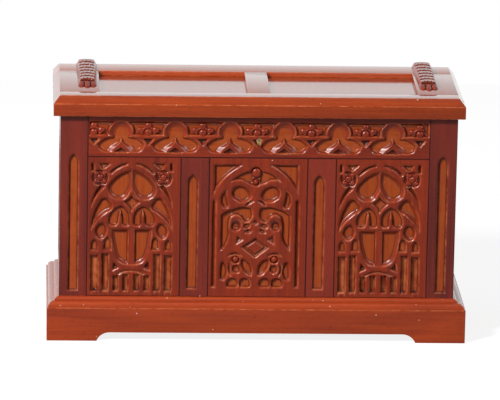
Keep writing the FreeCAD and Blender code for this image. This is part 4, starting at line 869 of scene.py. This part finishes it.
def centre_panel_hollows(face):
    """The round arch, scrolls and foliage of the centre panel."""
    deep = face.deep
    spandrel = trace((42.0, 135.8), (14.2, 135.8), ((30.5, 124.2), (42.0, 106.0)))
    wing = trace((3.6, 129.6), ((14.5, 126.8), (25.0, 118.6)), ((15.8, 120.4), (8.6, 117.6)), (3.4, 115.4))
    oval = trace((4.2, 103.4), ((9.6, 112.4), (18.0, 114.4)), ((24.6, 107.6), (19.4, 99.6)),
                 ((11.0, 97.4), (4.2, 103.4)))
    crescent = trace((29.4, 110.2), ((35.4, 102.0), (33.6, 93.2)), ((29.6, 91.4), (27.0, 94.4)),
                     ((28.8, 101.0), (29.4, 110.2)))
    leaf = trace((4.4, 91.0), ((12.6, 92.6), (21.0, 90.8)), ((28.4, 88.2), (34.8, 83.6)), (34.8, 47.6),
                 ((28.2, 56.5), (26.2, 66.0)), ((26.6, 74.0), (26.0, 79.0)), ((19.8, 84.6), (13.4, 80.2)),
                 (10.4, 76.6), ((5.2, 79.4), (3.0, 85.0)))
    cusp = trace((9.8, 92.4), ((7.6, 98.4), (1.8, 98.8)), ((6.0, 96.4), (9.8, 92.4)))
    outer = trace((31.0, 36.0), ((27.2, 27.0), (31.0, 16.6)), (34.8, 17.6), ((35.2, 27.0), (33.8, 35.4)))
    curl = trace((13.6, 39.4), ((4.4, 33.6), (3.4, 21.4)), ((11.8, 27.4), (13.6, 39.4)))
    over_curl = trace((13.0, 41.6), ((19.5, 46.0), (26.8, 41.6)), ((19.5, 43.2), (13.0, 41.6)))
    beside_curl = trace((24.4, 36.4), ((27.4, 28.5), (23.6, 20.6)), ((24.6, 28.5), (24.4, 36.4)))
    barb = trace((18.4, 63.8), (12.0, 59.2), (19.4, 54.2))
    upper_frond = trace((5.0, 74.6), ((9.4, 75.8), (12.6, 72.4)), ((9.0, 70.2), (5.0, 74.6)))
    lower_frond = trace((3.4, 68.4), ((7.4, 69.8), (10.6, 66.4)), ((6.8, 65.4), (3.4, 68.4)))
    diamond = mirrored((0.0, 60.8), (13.6, 51.4), (0.0, 40.4))
    face.sink((spandrel, 1.0, 1.7, 1.0), (lancet(41.7, 9.6, 100.2, 3.8), 0.85, 1.4, 0.6),
              (wing, 0.95, 1.2, 1.0), (oval, 1.0, 2.7, 1.0), (cusp, 0.7, 0.8, -0.4),
              (crescent, 0.9, 1.9, 1.0), (leaf, 1.0, 1.5, 1.0), (disc((19.4, 74.6), 5.6), 0.55, 2.6, -0.3),
              (disc((20.0, 72.4), 4.4), 0.95, 1.3, 1.1), (outer, 0.9, 1.9, 1.0), (curl, 0.9, 1.8, 1.0),
              (disc((18.8, 28.6), 4.2), 0.9, 1.2, 1.1), (disc((19.4, 38.4), 4.3), 0.65, 1.0, -0.4),
              (over_curl, 0.55, 1.0, 0.2), (beside_curl, 0.6, 1.1, 0.3), (barb, 0.7, 1.4, 0.5),
              (upper_frond, 0.65, 1.2, 0.6), (lower_frond, 0.65, 1.2, 0.6))
    for left, right in ((5.4, 14.4), (17.6, 27.2)):
        low_arch = trace((left, 9.6), (right, 9.6), (((left + right) / 2, 19.4), (left, 9.6)))
        face.sink((low_arch, 0.95, 1.2, 1.2))
    for middle, radius in (((0.2, 127.6), 6.4), ((-0.3, 118.4), 4.4)):
        face.hollow(disc(middle, radius), 0.7 * deep, 1.0, -0.5)
    face.hollow(mirrored((0.0, 80.6), (2.8, 76.6), (0.0, 74.0)), 0.55 * deep, 1.1, 0.1)
    face.hollow(diamond, 0.85 * deep, 1.0, 1.2)
    face.ridge((diamond - (0, 51.0)) * 0.62 + (0, 51.0), 0.35 * deep, 0.85 * deep, 0.9)


def frieze_bay_hollows(face, x):
    """One bay of the frieze: a trefoil with a round head, two side lobes and a gusset standing in its foot."""
    deep = face.deep
    trefoil = mirrored((0.0, 36.6), ((7.6, 33.4), (10.9, 27.0)), ((10.6, 23.0), (8.4, 20.0)),
                       ((15.8, 18.4), (23.4, 12.4)), ((19.4, 6.2), (12.0, 4.6)))
    gusset = mirrored((0.0, 18.2), ((2.0, 13.6), (5.6, 8.8)), (9.2, 4.7))
    foot = mirrored((0.0, 9.4), ((3.0, 7.4), (7.2, 4.3)))
    # The head's floor is painted paler at its foot and darker towards its top, as painted light and the lid's
    # painted shadow
    face.hollow(trefoil + (x, 0), deep, lambda w: 1.9 + 3.9 * unit((w - 20) / 5),
                lambda w: 1.2 - 0.6 * unit((w - 22) / 9), 0.25)
    face.ridge(gusset + (x, 0), 0.2 * deep, deep, lambda w: 0.9 + 4.2 * unit((14.5 - w) / 5))
    face.hollow(foot + (x, 0), 0.95 * deep, 0.8, -0.5)


def frieze_between_hollows(face, x):
    """The sunk ground of a rosette between two bays, and the pointed hollow below it."""
    ground = mirrored((21.6, 36.0), (19.0, 33.2), ((15.2, 28.4), (15.2, 22.0)))
    band = mirrored((20.6, 35.6), (17.6, 31.4))
    below = mirrored((5.6, 18.4), (0.0, 11.9))
    inside = face.u[-1] - FRIEZE_EDGE
    for points, share, cove, bright in ((ground, 0.85, 1.5, 0.6), (band, 0.86, 1.2, 1.2),
                                        (below, 1.0, 1.2, -0.9)):
        points = points + (x, 0)
        points[:, 0] = np.clip(points[:, 0], -inside - face.shift, inside - face.shift)
        face.hollow(points, share * face.deep, cove, bright)


# Repeating pieces, made by geometry nodes

def rosette_tree(name):
    """Carves a row of rosettes on a board: petals of three bumps round a boss, flattened at the front."""
    tree, given, ends = new_group(
        name, "GeometryNodeTree",
        {"Board": "shape", "Count": "whole", "Start": "place", "Pitch": "value", "Petals": "whole",
         "Turn": "value", "Fan": "value", "Petal": "value", "Boss": "value", "Swell": "value",
         "Squash": "value", "Finish": "finish"}, {"Board": "shape"})

    def share(name, part):
        return tree.times(given[name], part)

    def moved(shape, **changes):
        return tree.out("GeometryNodeTransform", {"Geometry": shape, **changes})

    def realized(shape):
        return tree.out("GeometryNodeRealizeInstances", {0: shape})

    def joined(*parts):
        join = tree.add("GeometryNodeJoinGeometry")
        for part in parts:
            tree.put(part, join.inputs[0])
        return join.outputs[0]

    ball = tree.out("GeometryNodeMeshUVSphere", {"Segments": 20, "Rings": 14, "Radius": 1.0})
    flat = tree.out("ShaderNodeVectorMath", {0: tree.out("GeometryNodeInputPosition"), 1: (-1.0, -0.86, -1.0)},
                    operation="MAXIMUM")
    ball = tree.out("GeometryNodeSetPosition", {"Geometry": ball, "Position": flat})

    def bump(along, across, long, wide, swell):
        return moved(ball, Translation=tree.place(share("Petal", along), 0.0, share("Petal", across)),
                     Scale=tree.place(share("Petal", long), share("Swell", swell), share("Petal", wide)))

    petal = joined(bump(0.85, 0.0, 0.42, 0.38, 0.95), bump(0.6, 0.3, 0.2, 0.18, 0.8),
                   bump(0.6, -0.3, 0.2, 0.18, 0.8))
    spots = tree.out("GeometryNodeMeshLine", {"Count": given["Petals"], "Offset": (0.0, 0.0, 0.0)})
    turn = tree.plus(tree.times(tree.out("GeometryNodeInputIndex"), given["Fan"]), given["Turn"])
    turn = tree.place(0.0, tree.math("SUBTRACT", turn, math.pi / 2), 0.0)
    petals = tree.out("GeometryNodeInstanceOnPoints", {
        "Points": spots, "Instance": petal, "Rotation": tree.out("FunctionNodeEulerToRotation", {0: turn})})
    petals = moved(realized(petals), Scale=tree.place(1.0, 1.0, given["Squash"]))
    boss = moved(ball, Translation=tree.place(0.0, share("Swell", -0.05), 0.0),
                 Scale=tree.place(given["Boss"], given["Swell"], given["Boss"]))
    row = tree.out("GeometryNodeMeshLine", {"Count": given["Count"], "Start Location": given["Start"],
                                            "Offset": tree.place(given["Pitch"], 0.0, 0.0)})
    row = tree.out("GeometryNodeInstanceOnPoints", {"Points": row, "Instance": joined(petals, boss)})
    smooth = tree.out("GeometryNodeSetShadeSmooth", {"Geometry": realized(row)})
    whole = realized(joined(smooth, given["Board"]))
    return tree.done(ends, {"Board": tree.out("GeometryNodeSetMaterial", {"Geometry": whole,
                                                                         "Material": given["Finish"]})})


def screw_tree(name):
    """Drives a slotted countersunk screw at each point, along the way that the point faces."""
    tree, given, ends = new_group(
        name, "GeometryNodeTree",
        {"Points": "shape", "Head": "value", "Sink": "value", "Shank": "value", "Length": "value",
         "Slot": "value", "Finish": "finish"}, {"Screws": "shape"})
    head = tree.out("GeometryNodeMeshCone", {"Vertices": 28, "Radius Top": given["Shank"],
                                             "Radius Bottom": given["Head"], "Depth": given["Sink"]})
    shank = tree.out("GeometryNodeMeshCylinder", {"Vertices": 16, "Radius": given["Shank"],
                                                  "Depth": given["Length"]})
    shank = tree.out("GeometryNodeTransform", {"Geometry": shank, "Translation": tree.place(
        z=tree.times(given["Length"], 0.5))})
    slot = tree.out("GeometryNodeMeshCube", {"Size": tree.place(
        tree.times(given["Head"], 2.2), given["Slot"], given["Sink"])})
    body = tree.add("GeometryNodeMeshBoolean", operation="UNION", solver="EXACT")
    for part in (head, shank):
        tree.put(part, body.inputs[1])
    cut = tree.out("GeometryNodeMeshBoolean", {0: body.outputs[0], 1: slot}, operation="DIFFERENCE",
                   solver="EXACT")
    facing = tree.out("GeometryNodeInputNamedAttribute", {"Name": "facing"}, data_type="FLOAT_VECTOR")
    spin = tree.out("GeometryNodeInputNamedAttribute", {"Name": "spin"}, data_type="FLOAT")
    spin = tree.out("FunctionNodeEulerToRotation", {0: tree.place(z=spin)})
    aim = tree.out("FunctionNodeAlignRotationToVector", {"Vector": facing}, axis="Z")
    aim = tree.out("FunctionNodeRotateRotation", {0: aim, 1: spin}, rotation_space="LOCAL")
    placed = tree.out("GeometryNodeInstanceOnPoints", {"Points": given["Points"], "Instance": cut,
                                                       "Rotation": aim})
    whole = tree.out("GeometryNodeRealizeInstances", {0: placed})
    return tree.done(ends, {"Screws": tree.out("GeometryNodeSetMaterial", {"Geometry": whole,
                                                                          "Material": given["Finish"]})})


def evaluated(holder):
    """The plain mesh that an object's modifiers make. The object itself is taken away."""
    bpy.context.view_layer.update()
    made = bpy.data.meshes.new_from_object(holder.evaluated_get(bpy.context.evaluated_depsgraph_get()))
    holder.modifiers.clear()
    bpy.data.objects.remove(holder)
    return made


def grown(mesh, group, values):
    """The plain mesh that a geometry tree makes from a mesh, with its inputs set by name."""
    holder = put_in(mesh.name, mesh)
    modifier = holder.modifiers.new(group.name, "NODES")
    modifier.node_group = group
    names = {s.name: s.identifier for s in group.interface.items_tree if s.in_out == "INPUT"}
    for name, value in values.items():
        modifier[names[name]] = value
    holder.update_tag()
    return evaluated(holder)


def with_rosettes(mesh, count, x, z, pitch, boss, petal=0.0, petals=0, turn=0.0, squash=1.0, fan=math.pi / 2):
    """A carved slab with a row of rosettes, or of plain knobs where they have no petals."""
    return grown(mesh, shared("Rosette row", rosette_tree),
                 {"Count": count, "Start": (x, FRONT + ROSETTE_SWELL, z), "Pitch": pitch, "Petals": petals,
                  "Turn": turn, "Fan": fan, "Petal": petal, "Boss": boss, "Swell": ROSETTE_SWELL,
                  "Squash": squash, "Finish": finish("mahogany_carved")})


def keyholed(mesh):
    """The frieze's slab with the keyhole cut through to its brass bush."""
    low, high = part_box("keyhole_bush")
    eye = (high.x - low.x) / 2
    slot = KEY_SLOT * eye
    lean = math.acos(slot / eye)
    rim = [(eye * math.cos(a), high.z - eye + eye * math.sin(a)) for a in np.linspace(-lean, math.pi + lean, 24)]
    rim += [(-slot, low.z), (slot, low.z)]
    tool = bmesh.new()
    ends = [[tool.verts.new((x, y, z)) for x, z in rim] for y in (FRONT - MM, FRONT + 2 * sizes().slab_depth)]
    for i in range(len(rim)):
        j = (i + 1) % len(rim)
        tool.faces.new((ends[0][i], ends[0][j], ends[1][j], ends[1][i]))
    tool.faces.new(ends[0])
    tool.faces.new(ends[1][::-1])
    bmesh.ops.recalc_face_normals(tool, faces=tool.faces)
    cutter = put_in("keyhole_cutter", to_mesh(tool, "keyhole_cutter", BOARD_SHARP))
    holder = put_in("keyhole_slab", mesh)
    cut = holder.modifiers.new("keyhole", "BOOLEAN")
    cut.operation, cut.solver, cut.object = "DIFFERENCE", "EXACT", cutter
    made = evaluated(holder)
    bpy.data.objects.remove(cutter)
    return made


def screw_heads(node):
    """The heads of a node's screws, the way that each is driven, and their length."""
    solid = merged_copy(node)
    left = set(solid.verts)
    heads, facing, reach = [], [], 0.0
    for first in solid.verts:
        if first not in left:
            continue
        left.remove(first)
        spread, shell = [first], []
        while spread:
            vert = spread.pop()
            shell.append(vert.co.copy())
            for edge in vert.link_edges:
                other = edge.other_vert(vert)
                if other in left:
                    left.remove(other)
                    spread.append(other)
        co = np.array(shell)
        low, high = co.min(0), co.max(0)
        axis = int(np.argmax(high - low))
        reach = max(reach, float(high[axis] - low[axis]))
        middle = (low + high) / 2
        wide = np.hypot(*np.delete(co - middle, axis, axis=1).T)
        way = 1.0 if co[np.argmax(wide)][axis] < middle[axis] else -1.0
        head = middle.copy()
        head[axis] = low[axis] if way > 0 else high[axis]
        heads.append(head.tolist())
        facing.append([way if a == axis else 0.0 for a in range(3)])
    solid.free()
    return heads, facing, reach


# Leaves and lining

def leaf_mesh(node, low, high):
    """Overlapping rows of leaflets between sloping sides, parted by grooves, behind a nose of three lobes."""
    s = sizes()
    nose, rows = LEAF_NOSE / MM, s.leaf_rows
    step, tall = s.leaf_step / MM, (high.z - LID_TOP) / MM
    long, broad = (high.y - low.y) / MM, (high.x - low.x) / MM
    u, y = np.meshgrid(np.linspace(-1, 1, 101), np.linspace(0, long, 400))
    side, row = np.abs(u), (long - nose) / rows
    behind = y > nose - 4
    # The body is almost level over this share of its half width, sagging a little, and then slopes to its edge
    level, sag = 0.72, 0.12
    body = tall * np.where(side < level, 1 - sag * (side / level) ** 2, (1 - sag) * (1 - side) / (1 - level))
    # Depth of the bed under the rows, how far a row bows forward, grooves across half a row and their depth,
    # and how far from its end a row dips under the next
    bed, bow, grooves, groove, dip = 2.6, 1.5, 2.6, 1.5, 3.4
    height = np.where(behind, body - bed, 0.0)
    for i in range(rows):
        notch = np.abs((grooves * side + 0.5 * (i % 2)) % 1 - 0.5) * 2
        past = y - nose - i * row - bow * (1 - u ** 2)
        fall = 0.35 * step * unit(past / row) + 2.2 * unit((past - row + dip) / 1.2)
        if i == rows - 1:
            fall = 0.0
        lip = groove * notch ** 4 * (1 - unit(past / 5.0)) + 0.4 * (1 - unit(past / 0.8)) ** 2
        height = np.where((past > 0) & (past < row + 3), np.maximum(height, body - fall - lip), height)
    height = height + (body - height) * unit((side - 0.7) / 0.05) * behind
    for centre, tip, wide in ((0.0, 0.0, 0.36), (-0.64, 3.6, 0.34), (0.64, 3.6, 0.34)):
        run = unit((y - tip) / (nose - tip))
        width = wide * unit(run / 0.4) ** 0.5 + 1e-6
        lobe = unit(1 - ((u - centre) / width) ** 2) ** 0.5 * (tall - step - 0.4) * unit(run / 0.7) ** 0.5
        height = np.where(y < nose + 4.0, np.maximum(height, lobe * (y > tip)), height)
    height *= unit((long - y) / 0.8) ** 0.5
    height = np.where(height > 0.01, height, -0.15)
    x = (low.x + high.x) / 2 + u * (LEAF_TIP + (broad - LEAF_TIP) * y / long) / 2 * MM
    place = low.y + y * MM
    top = np.stack([x, place, LID_TOP + height * MM], -1)
    base = np.stack([x, place, np.full_like(x, LID_TOP - 0.3 * MM)], -1)
    # The leaf's crests are lightened by wear together with painted highlights, and its grooves and the fronts of
    # its rows are darkened by stain together with painted shade
    stands = np.where(height > 0, height - blurred(np.maximum(height, 0), 4), 0)
    return relief_mesh(node + "_relief", top, base,
                       {"edge": np.clip(stands / 0.5 - 0.4, 0, 0.25),
                        "stain_and_shade": np.clip(-stands / 0.25, 0, 0.95), "hollow": np.zeros_like(height)})


def lining_mesh(low, high):
    """A cloth laid flat, its top and edges slightly uneven."""
    x, y = np.meshgrid(np.linspace(low.x, high.x, 182), np.linspace(low.y, high.y, 50))
    waves = 0.1 * MM * (np.sin(x * 61) * np.sin(y * 83 + 1) + np.sin(x * 23 + y * 37))
    border = np.minimum.reduce([x - low.x, high.x - x, y - low.y, high.y - y])
    lift = (sizes().lining_thick - 0.3 * MM + waves) * unit(border / (0.8 * MM) + 0.7)
    top = np.stack([x, y, low.z + lift], -1)
    base = np.stack([x, y, np.full_like(x, low.z + 0.02 * MM)], -1)
    return relief_mesh("baize_lining_relief", top, base, {})


# Stage

def lay_floor():
    """A pale floor that keeps a soft shadow and is white where nothing shades it."""
    mesh = bpy.data.meshes.new("studio_floor")
    mesh.from_pydata([(-FLOOR_WIDE, FLOOR_NEAR, 0), (FLOOR_WIDE, FLOOR_NEAR, 0), (FLOOR_WIDE, FLOOR_FAR, 0),
                      (-FLOOR_WIDE, FLOOR_FAR, 0)], [], [(0, 1, 2, 3)])
    floor = put_in("studio_floor", mesh)
    material = bpy.data.materials.new("studio_white")
    tree = bare_tree(material)
    paper = tree.out("ShaderNodeBsdfDiffuse", {"Color": PAPER_GREY})
    glow = tree.out("ShaderNodeEmission", {"Color": WHITE, "Strength": FLOOR_GLOW})
    lit = tree.out("ShaderNodeAddShader", {0: paper, 1: glow})
    both = tree.out("ShaderNodeMixShader", {0: tree.looked_at(), 1: paper, 2: lit})
    tree.add("ShaderNodeOutputMaterial", {"Surface": both})
    mesh.materials.append(material)


def light_world():
    """An even surround, white where it is seen and softer where it lights."""
    world = bpy.data.worlds.new("studio")
    tree = bare_tree(world)
    strength = tree.ramp(tree.looked_at(), 0.0, 1.0, WORLD_LIGHT, 1.0)
    back = tree.out("ShaderNodeBackground", {"Color": WHITE, "Strength": strength})
    tree.add("ShaderNodeOutputWorld", {"Surface": back})
    return world


def aimed(name, data, place, way):
    """A light or a camera at a place, looking along a way."""
    holder = put_in(name, data)
    holder.location = place
    holder.rotation_mode = "QUATERNION"
    holder.rotation_quaternion = way.to_track_quat("-Z", "Y")
    return holder


def hang_light(name, place, aim, wide, tall, watts, sheen):
    """One soft box aimed at the chest. A sheen shows only as a reflection."""
    lamp = bpy.data.lights.new("studio_" + name, "AREA")
    lamp.shape = "RECTANGLE"
    lamp.size, lamp.size_y, lamp.energy = wide, tall, watts
    holder = aimed("studio_" + name, lamp, Vector(place), Vector(aim) - Vector(place))
    holder.visible_camera = False
    holder.visible_diffuse = not sheen


def set_camera():
    """The camera at the photograph's viewing angle."""
    lens = bpy.data.cameras.new("studio_camera")
    lens.lens, lens.sensor_width, lens.clip_end = CAMERA_LENS, 36.0, 50.0
    flat = math.cos(CAMERA_ELEVATION)
    away = Vector((math.sin(CAMERA_AZIMUTH) * flat, -math.cos(CAMERA_AZIMUTH) * flat,
                   math.sin(CAMERA_ELEVATION)))
    camera = aimed("studio_camera", lens, CAMERA_AIM + CAMERA_DISTANCE * away, -away)
    camera.rotation_quaternion = camera.rotation_quaternion @ Quaternion((0.0, 0.0, 1.0), CAMERA_ROLL)
    return camera


# Operators

class CHEST_OT_carve_panels(bpy.types.Operator):
    """Carves the three panels of the front."""
    bl_idname = "chest.carve_panels"
    bl_label = "Carve front panels"

    def execute(self, context):
        s = sizes()
        side_x = (POST_INNER + MUNTIN_OUTER) / 2
        side_half = (POST_INNER - MUNTIN_OUTER) / 2 / MM
        for node, x, half, draw, tone in (
                ("left_tracery_panel", -side_x, side_half, side_panel_hollows, -0.05),
                ("right_tracery_panel", side_x, side_half, side_panel_hollows, 0.12),
                ("centre_tracery_panel", 0.0, MUNTIN_INNER / MM, centre_panel_hollows, 0.12)):
            face = Carving(half, (FRIEZE_FOOT - BASE_TOP) / MM, CARVING_SHIFT)
            draw(face)
            mesh = carved_front(node, face, x, BASE_TOP)
            middle = x + CARVING_SHIFT * MM
            if draw is side_panel_hollows:
                across, up = (place * MM for place in SIDE_ROSETTE)
                mesh = with_rosettes(mesh, 2, middle - across, BASE_TOP + up, 2 * across,
                                     SIDE_BOSS * s.rosette_boss, SIDE_PETAL * s.rosette_petal, 4, math.pi / 4)
            else:
                for across, up, boss, count in CENTRE_KNOBS:
                    mesh = with_rosettes(mesh, count, middle + across * MM, BASE_TOP + up * MM,
                                         -2 * across * MM, boss * MM)
            carved_board(node, mesh, "mahogany_carved", "z", tone)
        return {"FINISHED"}


class CHEST_OT_carve_uprights(bpy.types.Operator):
    """Carves a tall lancet in each front post and muntin."""
    bl_idname = "chest.carve_uprights"
    bl_label = "Carve posts and muntins"

    def execute(self, context):
        for node, (foot, top, width, tone) in UPRIGHTS.items():
            low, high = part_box(node)
            z_low, z_high, shift, seam = BASE_TOP, FRIEZE_FOOT, CARVING_SHIFT, PANEL_SEAM
            if "post" in node:
                z_low, z_high, shift, seam = low.z, high.z, 0.0, POST_SEAM
            face = Carving((high.x - low.x) / 2 / MM, (z_high - z_low) / MM, shift, seam)
            rise = (BASE_TOP - z_low) / MM
            face.hollow(lancet(0.0, rise + foot, rise + top, width), LANCET_DEPTH, 1.0, 1.1)
            mesh = carved_front(node, face, (low.x + high.x) / 2, z_low)
            carved_board(node, mesh, "mahogany_frame", "z", tone)
        return {"FINISHED"}


class CHEST_OT_carve_frieze(bpy.types.Operator):
    """Carves the row of trefoils and rosettes below the lid."""
    bl_idname = "chest.carve_frieze"
    bl_label = "Carve frieze"

    def execute(self, context):
        s = sizes()
        half = POST_INNER / MM
        pitch = 2 * (half - FRIEZE_END) / BAYS
        face = Carving(half, (FRIEZE_TOP - FRIEZE_FOOT) / MM, CARVING_SHIFT)
        for bay in range(BAYS):
            frieze_bay_hollows(face, (bay - (BAYS - 1) / 2) * pitch)
        for border in range(-BAYS // 2, BAYS // 2 + 1):
            frieze_between_hollows(face, border * pitch)
        mesh = keyholed(carved_front("frieze_rail", face, 0.0, FRIEZE_FOOT))
        for first, count, petals, turn in ((1 - BAYS / 2, BAYS - 1, 3, -FRIEZE_FAN), (-BAYS / 2, 1, 2, 0.0),
                                           (BAYS / 2, 1, 2, -FRIEZE_FAN)):
            mesh = with_rosettes(mesh, count, (first * pitch + CARVING_SHIFT) * MM,
                                 FRIEZE_FOOT + FRIEZE_ROSETTE_UP * MM, pitch * MM, s.rosette_boss,
                                 s.rosette_petal, petals, turn, FRIEZE_SQUASH, FRIEZE_FAN)
        carved_board("frieze_rail", mesh, "mahogany_carved", "x")
        return {"FINISHED"}


class CHEST_OT_shape_boards(bpy.types.Operator):
    """Rounds the arrises of the plain boards of the ends, back and floor."""
    bl_idname = "chest.shape_boards"
    bl_label = "Shape plain boards"

    def execute(self, context):
        back = (1, -FRONT)
        for side, way in (("left", -1), ("right", 1)):
            outer = (0, way * POST_OUTER)
            add_plain("back_" + side + "_post", [outer, back], "z", -0.1)
            add_plain(side + "_end_top_rail", [outer], "y")
            add_plain(side + "_end_bottom_rail", [outer], "y")
            add_plain(side + "_end_panel", [], "y", 0.1)
        for node, planes, tone in (("back_top_rail", [back], 0.0), ("back_bottom_rail", [back], 0.0),
                                   ("back_panel", [], 0.1), ("front_bottom_rail", [(1, FRONT)], 0.0),
                                   ("floor_board", [], 0.15), ("foot_blocks", [(2, 0.0)], -0.1)):
            add_plain(node, planes, "x", tone)
        return {"FINISHED"}


class CHEST_OT_shape_base(bpy.types.Operator):
    """Rounds the arrises of the bracket plinth and its moulding."""
    bl_idname = "chest.shape_base"
    bl_label = "Shape plinth and moulding"

    def execute(self, context):
        for side, axis, end, along in (("front", 1, 0, "x"), ("back", 1, 1, "x"), ("left", 0, 0, "y"),
                                       ("right", 0, 1, "y")):
            for kind, tone in (("plinth_", 0.0), ("base_moulding_", 0.35)):
                node = kind + side
                mesh = softened(node, [(axis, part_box(node)[end][axis])], BASE_ROUND * sizes().edge_round)
                x, y, z = np.abs(read(mesh.polygons, "normal")).T
                ends = ((x > 0.02) | (axis == 0) & (z > 0.5)) * (y < 0.5)
                add_piece(node, "_board", mesh, "mahogany_base", along, tone, BASE_END_POLISH * ends)
        return {"FINISHED"}


class CHEST_OT_shape_lid(bpy.types.Operator):
    """Rounds the arrises of the lid's frame and panels."""
    bl_idname = "chest.shape_lid"
    bl_label = "Shape lid"

    def execute(self, context):
        for node, along in (("lid_front_rail", "x"), ("lid_back_rail", "x"), ("lid_left_stile", "y"),
                            ("lid_right_stile", "y"), ("lid_muntin", "y")):
            low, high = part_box(node)
            planes = [(2, LID_TOP), (2, LID_FOOT), (0, low.x), (0, high.x)]
            if "rail" in node:
                planes += [(1, low.y)]
            wall, tone = 0.0, 0.0
            if node == "lid_back_rail":
                planes += [(1, high.y)]
                wall, tone = 1.0, 0.6
            mesh = softened(node, planes)
            gloss = polish_of(mesh, POLISH[node], LID_END_POLISH, wall)
            add_piece(node, "_board", mesh, "mahogany_lid", along, tone, gloss)
        for node in ("lid_left_panel", "lid_right_panel"):
            mesh = softened(node, [])
            add_piece(node, "_board", mesh, "mahogany_lid", "x", -0.1, polish_of(mesh, POLISH[node]))
        return {"FINISHED"}


class CHEST_OT_carve_leaves(bpy.types.Operator):
    """Carves the two leaves that lie on the lid."""
    bl_idname = "chest.carve_leaves"
    bl_label = "Carve leaves"

    def execute(self, context):
        for node in ("left_leaf_carving", "right_leaf_carving"):
            low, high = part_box(node)
            mesh = leaf_mesh(node, low, high)
            behind = np.array([face.center.y > low.y + LEAF_NOSE for face in mesh.polygons])
            add_piece(node, "_scales", mesh, "mahogany_carved", "y", 0.0, polish_of(mesh, LEAF_POLISH) * behind)
        return {"FINISHED"}


class CHEST_OT_fit_metal(bpy.types.Operator):
    """Finishes the hinges, lock and slot plates."""
    bl_idname = "chest.fit_metal"
    bl_label = "Fit metal"

    def execute(self, context):
        for side in ("left", "right"):
            for part in ("_hinge_carcase_leaf", "_hinge_lid_leaf", "_hinge_pin"):
                polish(side + part, "brass")
            node = side + "_slot_plate"
            low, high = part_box(node)
            planes = [(2, high.z), (0, low.x), (0, high.x), (1, low.y), (1, high.y)]
            add_piece(node, "_metal", softened(node, planes, PLATE_ROUND), "brass")
        for node in ("keyhole_bush", "link_plate"):
            polish(node, "brass")
        for node in ("lock_case", "lock_cap", "lock_barrel", "lock_bolt"):
            polish(node, "lock_steel")
        return {"FINISHED"}


class CHEST_OT_drive_screws(bpy.types.Operator):
    """Drives the screws of the hinges, lock, link plate and slot plates."""
    bl_idname = "chest.drive_screws"
    bl_label = "Drive screws"

    def execute(self, context):
        s = sizes()
        for node in ("slot_plate_screws", "hinge_carcase_screws", "hinge_lid_screws", "lock_screws",
                     "link_plate_screws"):
            slot = "lock_steel" if node == "lock_screws" else "brass"
            heads, facing, reach = screw_heads(node)
            mesh = bpy.data.meshes.new(node + "_points")
            mesh.from_pydata(heads, [], [])
            set_values(mesh, "facing", "FLOAT_VECTOR", "POINT", facing)
            set_values(mesh, "spin", "FLOAT", "POINT", [0.9 * i * i % math.pi for i in range(len(heads))])
            made = grown(mesh, shared("Driven screws", screw_tree),
                         {"Head": s.screw_head, "Sink": s.screw_sink, "Shank": s.screw_shank,
                          "Length": reach, "Slot": s.screw_slot, "Finish": finish(slot)})
            add_piece(node, "_driven", smoothed(made, SCREW_SHARP), slot)
        return {"FINISHED"}


class CHEST_OT_lay_lining(bpy.types.Operator):
    """Lays the baize on the floor of the box."""
    bl_idname = "chest.lay_lining"
    bl_label = "Lay lining"

    def execute(self, context):
        low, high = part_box("baize_lining")
        piece = add_piece("baize_lining", "_cloth", lining_mesh(low, high), "baize")
        return {"FINISHED"}


class CHEST_OT_set_stage(bpy.types.Operator):
    """Sets the white floor, the studio lights and the camera."""
    bl_idname = "chest.set_stage"
    bl_label = "Set stage"

    def execute(self, context):
        scene = context.scene
        scene.view_settings.view_transform = "Standard"
        lay_floor()
        scene.world = light_world()
        for light in STUDIO_LIGHTS:
            hang_light(*light)
        scene.camera = set_camera()
        return {"FINISHED"}


class CHEST_PT_steps(bpy.types.Panel):
    """Lists the steps of dressing the chest."""
    bl_idname = "CHEST_PT_steps"
    bl_label = "Carved chest"
    bl_space_type = "VIEW_3D"
    bl_region_type = "UI"
    bl_category = "Chest"

    def draw(self, context):
        for step in STEPS:
            self.layout.operator(step.bl_idname)
        for group in (context.scene.chest_sizes, context.scene.chest_colours):
            for name in group.__annotations__:
                self.layout.prop(group, name)


STEPS = (CHEST_OT_carve_panels, CHEST_OT_carve_uprights, CHEST_OT_carve_frieze, CHEST_OT_shape_boards,
         CHEST_OT_shape_base, CHEST_OT_shape_lid, CHEST_OT_carve_leaves, CHEST_OT_fit_metal,
         CHEST_OT_drive_screws, CHEST_OT_lay_lining, CHEST_OT_set_stage)
CLASSES = (ChestSizes, ChestColours, *STEPS, CHEST_PT_steps)


def register():
    """Makes the steps and settings known to Blender."""
    for made in CLASSES:
        bpy.utils.register_class(made)
    bpy.types.Scene.chest_sizes = PointerProperty(type=ChestSizes)
    bpy.types.Scene.chest_colours = PointerProperty(type=ChestColours)


def unregister():
    """Takes the steps and settings away again."""
    del bpy.types.Scene.chest_colours
    del bpy.types.Scene.chest_sizes
    for made in reversed(CLASSES):
        bpy.utils.unregister_class(made)


def main():
    """Dresses the chest step by step."""
    register()
    for step in STEPS:
        family, name = step.bl_idname.split(".")
        getattr(getattr(bpy.ops, family), name)()
    bpy.context.view_layer.update()


if __name__ == "__main__":
    main()
